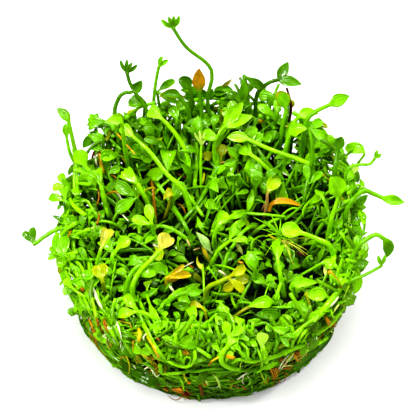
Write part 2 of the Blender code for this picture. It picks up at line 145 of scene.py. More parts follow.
# A blade: where along it the flat part starts, how much thinner its tip is, how a cup narrows it, how fast
# its edge waves along it, and its least half-width
FLAT_FROM = 0.4
TIP_THINNING = 0.6
CUP_NARROWING = 0.14
WAVE_TURN = 9.0
LEAST_HALF = 0.02

# Where along a blade it turns in to its tip, over how much more it still widens, how straight a wedge's
# sides are, and how an ovate blade's widest place and its fullness are set
ROUND_TURN_IN = 0.56
WEDGE_TURN_IN = 0.8
TURN_IN_BLEND = 0.06
WEDGE_STRAIGHTNESS = 0.35
OVATE_LEAN = 0.8
OVATE_FULLNESS = 0.85

# How far a blade's bend lies on from its stalk and towards its tip, as shares of its length, and how much
# of the spacing of its rings is even: the rest bunches them at the tip
STALK_PULL = 0.35
TIP_PULL = 0.2
EVEN_SPACING = 0.45

# How fast the stalk's tint gives way to the blade's, and where and how sharply a coloured edge starts
TINT_BLEND = 3.0
EDGE_START = 0.8
EDGE_SHARPNESS = 4.0

# A fan, as shares of its length: its notches, its rounded corners, its ripples and how its end droops; and
# how dark it is at its foot and how much lighter at its end
NOTCH_DEPTH = 0.13
CORNER_DEPTH = 0.12
FAN_RIPPLE = 0.05
FAN_DROOP = 0.25
FAN_DARK = 0.75
FAN_LIGHT = 0.3

# Where a line runs so nearly along its own facing that the facing can't turn it, and the way used instead
LEAST_TURN = 0.2
SPARE_WAY = (0.3, 1.0, 0.2)

# How many pieces of each kind the clump has
MIDDLE_LEAVES = 270
CROSSING_STALKS = 180
FRONT_LEAVES = 150
RIM_LEAVES = 380
BACK_LEAVES = 230
MOSS_TUFTS = 620
MOSS_STRANDS = 6
WALL_STEMS = 430
WALL_LEAVES = 210
OVERHANG_LEAVES = 200
WALL_CURLS = 34
MAT_LOBES = 560
MAT_STEMS = 330

# Places spread evenly over a ring turn by this angle from one to the next
GOLDEN_ANGLE = 2.399963

# Painted shade: how far down in the clump the tints darken, what is left of their light there, how much
# faster they darken behind the wall than under the canopy, and how far behind the wall that starts
SHADE_REACH = 7.5
DARKEST = 0.1
WALL_SHADE = 1.8
LIT_SKIN = 0.4

# How much lower the green growth reaches on the left, and where round the wall that starts and is full
LEFT_REACH = 6.0
LEFT_START = 0.3
LEFT_FULL = 0.7

# The part of a noise's range that the mottling of leaves and roots uses
NOISE_RANGE = (0.3, 0.7)

# Studio: light from all round, the floor's own glow and whiteness, and how much of them the leaves' gloss
# leaves out
WORLD_LIGHT = 0.4
FLOOR_GLOW = 0.2
FLOOR_WHITE = 0.68
FLOOR_SIZE = 6.0
GLOSS_DIMMING = 0.88

# Lights: name, place and size in metres, power, whether gloss mirrors it, whether it lights the rest
LIGHTS = (
    ("broad_light", (0.0, -0.05, 0.8), 0.5, 3.45, False, True),
    ("back_glint", (-0.1, 0.42, 0.5), 0.08, 1.2, True, False),
    ("top_glint", (0.15, 0.12, 0.7), 0.08, 1.2, True, False),
    ("front_glint", (-0.3, -0.35, 0.6), 0.08, 1.2, True, False),
    ("left_light", (-0.5, -0.15, 0.55), 0.09, 2.6, True, True),
    ("right_light", (0.45, 0.1, 0.6), 0.09, 1.82, True, True),
)
LIGHT_AIM = Vector((0.0, 0.0, 0.02))

# The leaves to be made, noted one by one
HEROES = []


def unit(vector):
    """The vector at length 1."""
    vector = np.asarray(vector, float)
    return vector / max(np.linalg.norm(vector), 1e-9)


def srgb(red, green, blue):
    """A colour given as 0 to 255 on a screen, as the linear values that materials take."""
    share = np.array((red, green, blue), float) / 255.0
    return np.where(share <= 0.04045, share / 12.92, ((share + 0.055) / 1.055) ** 2.4)


# Of the four greens, the third and fourth are the first one darkened: painted shade for what lies out of the
# light and deep in the gaps; the third also gives the old pressed foot its dark olive
FRESH = srgb(154, 225, 0)
MIDDLE = srgb(128, 198, 0)
SHADE = srgb(92, 150, 0)
DEEP_SHADE = srgb(42, 62, 0)
YELLOW = srgb(204, 206, 10)
PALE = srgb(222, 236, 120)
ORANGE = srgb(226, 166, 12)
BROWN = srgb(176, 116, 18)
DEAD = srgb(88, 28, 14)
# White of the fine roots, also laid on as painted highlights where stems and leaves glint
ROOT_AND_HIGHLIGHT_WHITE = srgb(236, 238, 196)

# Forms of one blade, and for each form of several how its lobes spread from the stalk, in degrees
SINGLE_SHAPES = ("round", "ovate", "wedge")
SPREADS = {
    "pair": (-34, 34),
    "folded": (-16, 16),
    "clover": (-66, -22, 22, 66),
    "bud": (-34, -11, 11, 34),
}

# Forms of the canopy's small leaves: how often each comes, and its width as a share of its length
CANOPY_FORMS = {
    "round": (0.2, 0.72),
    "ovate": (0.25, 0.56),
    "wedge": (0.12, 0.7),
    "pair": (0.16, 0.55),
    "folded": (0.14, 0.42),
    "clover": (0.06, 0.4),
    "bud": (0.07, 0.24),
}

# Forms of the leaves that hang over the rim, and how often each comes
OVERHANG_FORMS = {"round": 0.2, "ovate": 0.35, "wedge": 0.2, "pair": 0.1, "folded": 0.15}

# Radii of the wall's stems, and how often each comes
WALL_STEM_RADII = {0.2: 0.3, 0.32: 0.3, 0.46: 0.25, 0.62: 0.15}

# Points round the dark core
CORE_SIDES = 96

# Creeping stems that the cup pressed to the wall, and the dead stalk: path, radius, tint, sides, rings,
# taper, slot, and whether it takes the place of a solid
RUNNERS = {
    "runner_right": (((33.5, -4, 19), (32.5, -12, 17.5), (28, -20.5, 16.5), (21.5, -26.5, 17)),
                     0.72, FRESH, 12, 30, 0.8, "fresh_green", True),
    "runner_front_right": (((27, -20, 9.5), (21, -25.5, 11), (14, -30, 12), (6.5, -32.5, 13.5)),
                           0.5, FRESH, 12, 30, 0.8, "fresh_green", True),
    "runner_front": (((-17, -28, 13), (-9.5, -31.5, 11), (-2, -32.5, 10), (4.5, -32.2, 10)),
                     0.5, FRESH, 12, 30, 0.8, "fresh_green", True),
    "dead_stalk": (((18.5, 28.5, 28), (19.4, 29.3, 34), (19.1, 29.7, 37.5), (18.2, 30, 41)),
                   0.42, DEAD, 8, 16, 0.6, "dead_brown", True),
    "runner_left": (((-27, -10, 22), (-27.5, -15, 19), (-25.5, -20, 17.5), (-21.5, -24.5, 17),
                     (-17, -28.5, 16.5)), 0.55, FRESH * 0.9 + PALE * 0.1, 10, 24, 0.8, "fresh_green", False),
}

# Big pressed lobes at the foot: path, tip, width, tint
BASE_LOBES = (
    (((27.6, -16.8, 6.4), (26.1, -19.1, 5.8)), (19.2, -25.8, 6.0), 6.0, SHADE * 0.8),
    (((28.6, -12.0, 5.0), (28.8, -14.0, 4.4)), (24.9, -19.4, 3.4), 4.4, SHADE * 0.6),
    (((-20.6, -24.4, 6.0), (-22.3, -23.1, 6.2)), (-26.0, -18.9, 5.6), 4.0, MIDDLE * 0.6),
    (((-14.5, -28.2, 4.5), (-15.6, -27.5, 4.4)), (-21.2, -23.4, 5.6), 4.4, SHADE * 0.55),
)

# Tufts of fine roots on the wall: angle, height, tint, how many, spread in degrees
ROOT_TUFTS = (
    (216.0, 12.0, BROWN * 1.3, 12, 1.6),
    (226.0, 17.0, ORANGE, 14, 2.0),
    (241.0, 17.0, ORANGE, 10, 1.5),
    (249.0, 15.0, ORANGE * 0.9, 12, 1.5),
    (259.0, 4.5, BROWN * 1.2, 6, 4.0),
    (294.0, 8.5, ORANGE * 0.8, 8, 2.0),
    (300.0, 5.5, BROWN, 6, 2.0),
    (306.0, 13.0, ORANGE * 0.7, 9, 2.0),
    (325.0, 14.0, ORANGE * 0.6, 10, 2.5),
    (231.0, 19.0, ROOT_AND_HIGHLIGHT_WHITE, 8, 4.0),
    (246.0, 12.5, ROOT_AND_HIGHLIGHT_WHITE, 3, 4.0),
    (215.0, 18.0, ROOT_AND_HIGHLIGHT_WHITE, 7, 6.0),
    (285.0, 12.0, ROOT_AND_HIGHLIGHT_WHITE, 3, 8.0),
    (312.0, 14.0, PALE, 12, 5.0),
    (335.0, 12.0, PALE, 8, 6.0),
    (30.0, 12.0, ROOT_AND_HIGHLIGHT_WHITE, 12, 25.0),
    (110.0, 12.0, ROOT_AND_HIGHLIGHT_WHITE, 16, 35.0),
    (150.0, 10.0, ORANGE, 14, 25.0),
    (60.0, 9.0, BROWN, 14, 25.0),
)

# What the photograph shows, in its own pixels: each piece is laid on the clump there. The darker
# greens in these tables carry painted shade, and some white pieces are painted highlights.
# Stems: half width and height off the clump in millimetres, tint, pixels
SEEN_STEMS = (
    # the hooked stem in front on the left, and what lies beside it
    (0.62, 1.9, FRESH, (116, 308), (115, 303), (119, 300), (126, 299.5), (132, 304), (138, 313), (142, 322),
     (147, 331), (152, 341), (158, 351), (164, 358)),
    (0.4, 1.6, FRESH, (116, 303), (117, 308), (122, 311.5), (129, 311), (135, 313)),
    (0.55, 1.4, FRESH, (140, 303), (145, 315), (150, 325), (156, 334), (164, 338), (172, 341), (180, 345)),
    (0.42, 1.0, FRESH, (97, 296), (101, 303), (106, 308), (111, 313), (116, 318)),
    (0.4, 0.7, MIDDLE, (100, 294), (105, 301), (110, 306), (115, 311)),
    # its white is a painted highlight along the stem
    (0.42, 1.8, ROOT_AND_HIGHLIGHT_WHITE, (93, 289), (95, 293), (97, 299), (100, 305), (105, 311)),
    (0.5, 1.3, YELLOW * 0.35 + FRESH * 0.6, (87, 288), (91, 298), (94, 308), (96, 317), (97, 327)),
    (0.42, 1.0, FRESH, (83, 281), (86, 291), (90, 302), (92, 311)),
    (0.3, 0.6, MIDDLE, (120, 330), (126, 331), (133, 329), (138, 327)),
    (0.3, 0.6, MIDDLE * 1.1, (120, 340), (126, 341.5), (133, 343)),
    (0.45, 0.5, MIDDLE, (100, 319), (106, 330), (112, 340), (118, 350)),
    (0.42, 0.6, FRESH * 0.85, (104, 317), (111, 327), (116, 338), (121, 349)),
    (0.35, 0.8, FRESH, (108, 315), (114, 325), (119, 334), (122, 345)),
    (0.45, 0.4, MIDDLE * 0.8, (110, 334), (115, 343), (121, 351), (124, 356)),
    (0.5, 0.5, MIDDLE, (128, 342), (133, 350), (138, 357), (144, 363)),
    (0.5, 0.5, FRESH * 0.85, (136, 343), (141, 351), (147, 359), (156, 364)),
    (0.42, 0.7, FRESH, (143, 341), (150, 349), (156, 357), (166, 362)),
    (0.3, 0.4, SHADE, (79, 312), (80, 320), (83, 327), (88, 333), (92, 339)),
    (0.4, 0.5, MIDDLE, (75, 297), (77, 304), (80, 311)),
    (0.35, 0.6, SHADE, (70, 293), (75, 296), (80, 299), (88, 302)),
    (0.45, 0.4, FRESH * 0.9, (99, 345), (104, 341), (108, 342), (109, 348)),
    (0.45, 1.0, FRESH, (160, 364), (161, 369), (162, 373), (172, 373.5), (180, 373), (188, 371.5)),
    (0.5, 1.1, FRESH, (160, 365), (160.5, 372)),
    # the middle of the wall
    (0.66, 1.8, FRESH, (178, 335), (184, 331), (191, 326.5), (199, 326), (206, 328)),
    (0.42, 1.2, MIDDLE, (160, 326), (169, 323), (180, 324), (190, 322.5), (200, 323), (208, 326)),
    (0.5, 1.0, MIDDLE, (183, 337), (189, 331), (196, 330), (203, 331.5), (208, 337), (209, 345),
     (208, 352)),
    (0.55, 1.3, FRESH, (158, 333), (168, 338), (178, 344), (188, 347), (197, 349), (204, 353), (210, 357)),
    (0.5, 1.1, FRESH, (170, 350), (176, 345), (184, 342), (193, 342)),
    (0.27, 0.9, FRESH, (178, 346), (181, 354), (183, 361)),
    (0.42, 1.4, FRESH, (188, 345), (194, 350), (195, 358), (192, 364), (186, 367), (178, 366), (171, 363),
     (165, 359)),
    (0.25, 1.2, FRESH, (184, 365), (184, 360), (187, 357), (190.5, 359), (189.5, 363.5), (186, 366)),
    (0.25, 1.0, FRESH * 0.9, (204, 336), (203.5, 341), (201, 345), (195, 346.5)),
    (0.45, 0.2, MIDDLE * 0.7, (210, 330), (212, 340), (213, 350), (214, 358)),
    (0.45, 0.2, MIDDLE * 0.6, (215, 327), (215.5, 337), (217, 347), (219, 354)),
    (0.4, 0.2, SHADE, (192, 334), (197, 341), (199, 348)),
    (0.5, 1.4, FRESH, (217, 349), (218, 342), (222, 336), (228, 330), (233, 323)),
    (0.4, 1.0, FRESH, (219, 353), (222, 346), (227, 339), (231, 334)),
    (0.3, 2.4, FRESH, (208, 323), (213, 317), (219, 312.5), (225, 311.5), (230, 315), (233, 322),
     (234, 330), (233, 340)),
    (0.42, 1.6, FRESH, (243.5, 322), (244, 330), (243.5, 339)),
    (0.6, 2.2, FRESH, (236, 343), (228, 347), (222, 353), (221, 360), (224, 365), (230, 368), (238, 369.5)),
    (0.36, 2.0, FRESH, (236, 340), (242, 344), (247, 349), (248, 356), (246, 362)),
    (0.3, 1.9, FRESH, (229, 350), (235, 348.5), (240, 351), (243, 357)),
    (0.3, 1.2, FRESH, (228, 360), (227, 355), (229, 351)),
    (0.42, 1.6, FRESH, (232, 363), (237, 360), (243, 360), (251, 362), (258, 361), (265, 358), (273, 356)),
    (0.62, 1.9, FRESH, (262, 359), (271, 357.5), (280, 354.5), (289, 350.5), (298, 347), (307, 343)),
    (0.4, 1.4, FRESH, (262, 342), (264, 349), (268, 358)),
    (0.4, 1.5, MIDDLE, (249, 327), (257, 325), (265, 323), (270, 326), (275, 331), (278, 338)),
    (0.5, 0.6, MIDDLE * 0.8, (276, 334), (277, 343), (275, 350), (273, 357)),
    (0.3, 1.0, FRESH, (281, 332), (285, 341), (289, 349)),
    (0.35, 0.5, MIDDLE * 0.8, (252, 346), (256, 350), (253, 356), (257, 359)),
    (0.35, 1.2, FRESH, (260, 370), (262, 363), (260, 355), (257, 347)),
    (0.45, 1.0, MIDDLE, (238, 352), (243, 354), (247, 358), (254, 360)),
    # long strands over the foot
    (0.3, 0.5, MIDDLE, (220, 383), (228, 384), (236, 382.5), (244, 379), (252, 375.5)),
    (0.3, 0.4, MIDDLE * 0.75, (217, 377), (222, 385), (232, 388.5), (243, 387.5), (252, 382), (255, 377)),
    (0.35, 0.2, MIDDLE * 0.5, (205, 391), (215, 393.5), (226, 393.5), (233, 391)),
    (0.35, 0.2, MIDDLE * 0.45, (231, 392), (240, 394), (250, 392.5), (258, 389)),
    (0.38, 0.9, MIDDLE, (186, 370), (196, 371.5), (206, 369.5), (216, 368.5), (227, 369.5)),
    (0.4, 0.7, MIDDLE * 0.9, (190, 375), (200, 378), (212, 376.5), (223, 374), (235, 373)),
    (0.42, 0.4, MIDDLE * 0.65, (196, 362), (205, 365), (216, 363.5), (226, 365)),
    (0.4, 0.3, MIDDLE * 0.55, (198, 358), (208, 361), (220, 361)),
    (0.4, 0.4, MIDDLE * 0.6, (166, 377), (178, 380), (190, 381), (200, 384)),
    (0.35, 0.3, MIDDLE * 0.5, (176, 384), (188, 387), (198, 389), (206, 388)),
    (0.3, 1.0, PALE * 0.5 + FRESH * 0.5, (211, 373), (216, 377), (219, 384), (221, 391)),
    (0.3, 0.8, MIDDLE, (260, 372), (266, 375), (264, 381), (257, 384)),
    (0.3, 0.5, MIDDLE * 0.8, (236, 378), (246, 374), (256, 369), (262, 364)),
    (0.6, 1.4, FRESH, (152, 112), (160, 109), (170, 108), (181, 111.5)),
    (0.5, 1.2, FRESH * 0.9, (166, 128), (173, 120), (180, 118), (187, 120)),
    # more of the foot, from the left to the right
    (0.3, 0.3, SHADE, (130, 373), (138, 377.5), (147, 381), (155, 384)),
    (0.3, 0.3, SHADE, (120, 361), (123, 367), (128, 372)),
    (0.4, 0.6, MIDDLE * 0.8, (138, 362), (146, 364), (153, 368), (158, 375)),
    (0.3, 0.4, SHADE * 0.8, (132, 369), (141, 373), (150, 377)),
    (0.35, 0.4, MIDDLE * 0.7, (159, 377), (164, 381), (168, 385)),
    (0.3, 0.4, MIDDLE * 0.6, (162, 374.5), (170, 378.5), (179, 379)),
    (0.3, 0.4, MIDDLE * 0.55, (183, 380), (190, 385), (197, 388)),
    (0.35, 0.5, MIDDLE * 0.6, (197, 392), (198.5, 396), (199.5, 401)),
    (0.45, 0.7, MIDDLE * 0.9, (204, 372), (213, 371), (224, 371.5), (237, 370)),
    (0.3, 0.6, SHADE, (220, 377.5), (226, 376), (231, 378), (236, 380.5)),
    (0.3, 0.5, MIDDLE * 0.7, (207, 386), (208.5, 391), (214, 393)),
    (0.35, 0.4, SHADE * 0.8, (220, 381), (219.5, 387), (223, 391), (230, 392)),
    (0.4, 0.5, MIDDLE * 0.6, (240, 368), (248, 364), (257, 360)),
    (0.3, 0.6, MIDDLE * 0.8, (253, 375), (256, 371), (260, 369)),
    (0.25, 0.7, FRESH * 0.8, (246, 386), (249, 384), (250.5, 380), (247, 377.5)),
    (0.35, 0.5, MIDDLE * 0.7, (252, 392), (252, 387), (251, 381)),
    (0.3, 0.5, MIDDLE * 0.6, (255, 385), (259, 387.5), (262.5, 384), (262, 378)),
    (0.3, 0.5, MIDDLE * 0.65, (265, 371), (269, 376), (272, 381)),
    (0.35, 0.4, SHADE * 0.8, (261, 389), (268, 386.5), (275, 383)),
    (0.4, 0.5, SHADE * 0.8, (232, 391), (236, 386.5), (241, 384.5), (248, 386)),
    (0.45, 0.7, MIDDLE * 0.75, (318, 347), (322, 341), (328, 333)),
    (0.3, 0.6, SHADE, (322, 337), (326, 331), (331, 328)),
    (0.5, 0.9, MIDDLE * 0.85, (312, 338), (315, 333), (318, 329)),
    (0.4, 0.6, SHADE * 0.7, (298, 345), (306, 344), (314, 346)),
    # more of the wall on the left
    (0.6, 1.0, FRESH, (74, 269), (79, 279), (84, 289), (88, 299)),
    (0.5, 0.9, FRESH, (88, 261), (90, 274), (91, 289)),
    (0.5, 0.9, FRESH, (83, 296), (86, 303), (89, 310), (92, 316)),
    (0.42, 0.8, FRESH * 0.95, (78, 292), (80, 300), (84, 308), (86, 313)),
    (0.45, 1.0, FRESH, (96, 300), (102, 308), (108, 315), (113, 321), (118, 328)),
    (0.4, 0.9, FRESH * 0.95, (99, 309), (106, 317), (112, 325), (117, 332)),
    (0.45, 0.9, FRESH, (98, 315), (104, 321), (110, 330), (115, 338), (120, 347)),
    (0.5, 0.8, MIDDLE * 1.05, (86, 316), (88, 324), (91, 331), (95, 337)),
    (0.5, 0.9, FRESH * 0.9, (95, 324), (98, 331), (101, 338)),
    (0.35, 0.9, PALE * 0.3 + FRESH * 0.7, (100, 322), (104, 329), (108, 337)),
    (0.42, 0.8, FRESH * 0.9, (104, 338), (108, 345), (111, 351), (116, 357)),
    (0.45, 0.7, MIDDLE * 0.9, (112, 341), (118, 349), (124, 357), (130, 363)),
    (0.4, 0.8, FRESH * 0.9, (122, 338), (127, 346), (132, 354), (136, 361)),
    # in front on the right
    (0.9, 2.0, FRESH, (346, 281), (340, 290), (333, 298), (326, 307), (319, 316)),
    (0.5, 1.8, FRESH, (324, 309), (314, 319), (303, 327), (293, 335), (285, 341)),
    (0.46, 1.5, FRESH, (322, 313), (309, 322), (299, 333), (293, 342), (291, 352)),
    (0.42, 1.2, FRESH, (318, 318), (309, 327), (301, 337), (297, 345)),
    (0.42, 1.0, MIDDLE, (318, 324), (314, 332), (312, 341), (308, 346)),
    (0.28, 1.0, FRESH, (309, 326), (307, 334), (303, 341), (300, 346)),
    (0.28, 1.2, FRESH, (299, 344), (303, 340), (306, 343), (303, 348)),
    (0.25, 1.5, YELLOW * 0.3 + FRESH * 0.7, (350, 284), (346, 292), (343, 300), (341, 308)),
    (0.25, 1.6, YELLOW * 0.3 + PALE * 0.5, (347, 296), (344, 305), (341, 314)),
    (0.3, 1.4, FRESH, (331, 309), (332, 315), (335, 317.5), (339, 314), (342, 306)),
    (0.25, 1.6, PALE, (333, 313), (337, 307), (341, 302)),
    (0.4, 0.6, MIDDLE * 0.6, (320, 345), (325, 336), (331, 329), (337, 321)),
    (0.4, 0.5, MIDDLE * 0.5, (327, 333), (333, 326), (339, 318), (343, 309)),
    (0.4, 0.8, SHADE + BROWN * 0.1, (351, 285), (349, 293), (347, 301), (344, 312)),
    (0.42, 2.0, FRESH, (306, 302), (306.5, 309), (305.5, 317)),
    (0.5, 2.0, FRESH, (300, 322), (308, 318), (317, 313), (324, 310)),
    # the right wall
    (0.6, 1.0, FRESH, (344, 249), (342, 262), (337, 275), (334, 291)),
    (0.55, 0.9, FRESH, (350, 249), (350, 262), (347, 276), (341, 290)),
    (0.5, 0.7, FRESH * 0.9, (353, 259), (353, 270), (349, 281), (342, 291)),
    (0.5, 0.5, MIDDLE, (333, 264), (331, 275), (332, 288)),
    (0.4, 0.4, MIDDLE * 0.6, (346, 262), (343, 270), (339, 281)),
    (0.5, 1.0, FRESH, (358, 271), (352, 278), (346, 284), (341, 292)),
    (0.42, 0.8, MIDDLE, (327, 199), (328, 210), (330, 222), (331, 240)),
    (0.3, 1.2, PALE * 0.6 + FRESH * 0.4, (344, 181), (348, 190), (349, 205), (350, 222)),
    (0.3, 1.2, PALE * 0.4 + FRESH * 0.6, (343, 202), (347, 211), (349, 222), (348, 238)),
    (0.35, 0.8, MIDDLE, (365, 219), (364, 229), (360, 240), (357, 249)),
    (0.42, 1.5, FRESH, (303, 216), (304, 209), (308, 203), (313, 200)),
    (0.35, 0.8, FRESH, (350, 196), (354, 188), (360, 184.5), (364, 189)),
    # the left wall
    (0.5, 1.0, FRESH, (66, 246), (70, 255), (77, 262), (83, 271), (86, 288)),
    (0.5, 0.9, FRESH, (63, 267), (68, 277), (72, 287), (76, 297)),
    (0.5, 0.8, FRESH, (70, 261), (75, 271), (80, 282), (85, 295)),
    (0.6, 1.0, FRESH, (77, 264), (74, 252), (73, 240), (74, 230)),
    (0.48, 0.8, FRESH, (75, 168), (74, 184), (77, 197), (82, 209)),
    (0.4, 0.5, MIDDLE, (89, 258), (92, 268), (94, 280), (97, 291)),
    # the stalks among the leaves on top, from the left to the right
    (0.55, 0.4, FRESH, (100, 172), (103, 190), (105, 203), (108, 216)),
    (0.6, 0.4, MIDDLE, (137, 178), (142, 186), (148, 197), (152, 207), (155, 222)),
    (0.55, 1.0, FRESH, (180, 184), (185, 191), (191, 199), (197, 207), (203, 216)),
    (0.5, 1.2, FRESH, (152, 198), (158, 190), (166, 182), (172, 178)),
    (0.4, 0.6, MIDDLE, (172, 183), (175, 190), (179, 198)),
    (0.62, 1.2, MIDDLE * 0.75, (216, 168), (210, 182), (203, 195), (194, 208), (184, 219), (173, 231)),
    (0.5, 0.8, MIDDLE * 0.7, (207, 196), (199, 208), (190, 219), (182, 229)),
    (0.62, 1.0, FRESH, (196, 142), (196.5, 155), (196, 170), (194, 190)),
    (0.45, 0.6, MIDDLE * 0.55, (191, 150), (193, 165), (194, 181)),
    (0.6, 0.9, MIDDLE, (222, 171), (223, 182), (223, 193)),
    (0.5, 0.6, MIDDLE * 0.8, (118, 252), (130, 250), (145, 249.5), (153, 249)),
    (0.62, 1.8, FRESH, (155, 259), (146, 264), (139, 272), (135, 281), (132, 292)),
    (0.35, 0.8, FRESH, (140, 266), (133, 270), (129, 278), (126, 290)),
    (0.3, 2.4, FRESH, (161, 282), (168, 275), (176, 270.5), (186, 270), (193, 271.5)),
    (0.55, 0.6, MIDDLE, (209, 250), (211, 262), (216, 268), (221, 276)),
    (0.45, 1.0, FRESH, (211, 255), (220, 245), (229, 236)),
    (0.4, 0.2, MIDDLE * 0.8, (188, 246), (196, 244), (203, 241)),
    (0.35, 1.0, FRESH, (212, 203), (218, 197), (224, 194), (230, 194)),
    (0.35, 0.4, FRESH * 0.9, (281, 190), (290, 189), (300, 190)),
    (0.4, 0.6, MIDDLE, (277, 257), (279, 268), (280, 281)),
    (0.25, 1.4, FRESH, (252, 252), (251, 245), (255, 239), (262, 236), (269, 236)),
    (0.42, 0.8, FRESH * 0.85, (212, 293), (222, 295), (232, 294), (240, 297), (248, 302), (254, 305)),
    (0.35, 1.2, FRESH * 0.9, (231, 295), (233, 302), (236, 308)),
    (0.7, 0.6, FRESH, (166, 308), (170, 299), (178, 292), (190, 288)),
    (0.3, 0.6, BROWN * 1.2 + ROOT_AND_HIGHLIGHT_WHITE * 0.3, (262, 210), (266, 201), (268, 192)),
    (0.9, 0.2, MIDDLE * 0.6, (127, 139), (134, 150), (143, 166)),
    (0.8, 0.6, FRESH, (218, 168), (217, 158), (217, 148), (220, 137), (226, 127), (234, 119)),
    (0.6, 0.8, FRESH, (203, 128), (210, 123), (216, 118), (224, 112), (232, 107)),
    (0.5, 0.8, FRESH, (218, 138), (221, 127), (226, 120), (233, 115)),
    (0.6, 0.4, MIDDLE, (207, 152), (211, 138), (214, 127), (213, 118)),
    (0.75, 0.0, MIDDLE * 0.7, (191, 111), (197, 118), (203, 130)),
    (0.4, -0.5, DEEP_SHADE * 1.5, (213, 150), (215, 158), (217, 167)),
    (0.4, 2.0, MIDDLE * 0.8, (262, 106), (263, 94), (266, 85), (273, 80), (281, 79)),
    (0.4, 2.0, MIDDLE, (270, 104), (275, 93), (279, 84)),
    (0.45, 2.2, MIDDLE, (261, 107), (270, 102), (281, 100), (289, 101)),
    (0.4, 0.8, SHADE, (283, 132), (287, 118), (289, 108), (286, 100)),
    (0.5, 1.0, SHADE, (240, 101), (239, 92), (235, 84)),
    (0.8, 0.6, FRESH * 0.9, (325, 143), (324, 158), (326, 172)),
    (0.45, 0.6, MIDDLE * 0.8, (312, 128), (315, 139), (321, 149)),
    (0.8, 1.0, FRESH, (249, 137), (256, 148), (264, 159), (272, 169), (279, 179)),
    (0.55, 0.8, FRESH, (243, 137), (246, 146), (252, 156), (258, 163)),
    (0.3, 0.6, FRESH, (338, 149), (334, 153), (329, 151)),
    (0.55, 0.8, FRESH, (74, 150), (76, 165), (77, 180), (79, 200)),
    (0.5, 0.2, MIDDLE * 0.75, (106, 136), (108, 146), (112, 158)),
    (0.4, 0.4, MIDDLE, (118, 118), (117, 128), (124, 140)),
    (0.45, 0.6, MIDDLE * 0.9, (180, 110), (178, 122), (183, 136), (188, 147)),
    (0.4, 0.6, FRESH * 0.8, (301, 205), (296, 196), (290, 178), (284, 168)),
    (0.4, -1.0, MIDDLE * 0.6, (292, 215), (301, 222), (310, 233)),
    (0.4, -1.0, MIDDLE * 0.7, (311, 232), (313, 221), (317, 210)),
    (0.4, -0.5, MIDDLE * 0.8, (236, 262), (242, 272), (245, 284)),
)
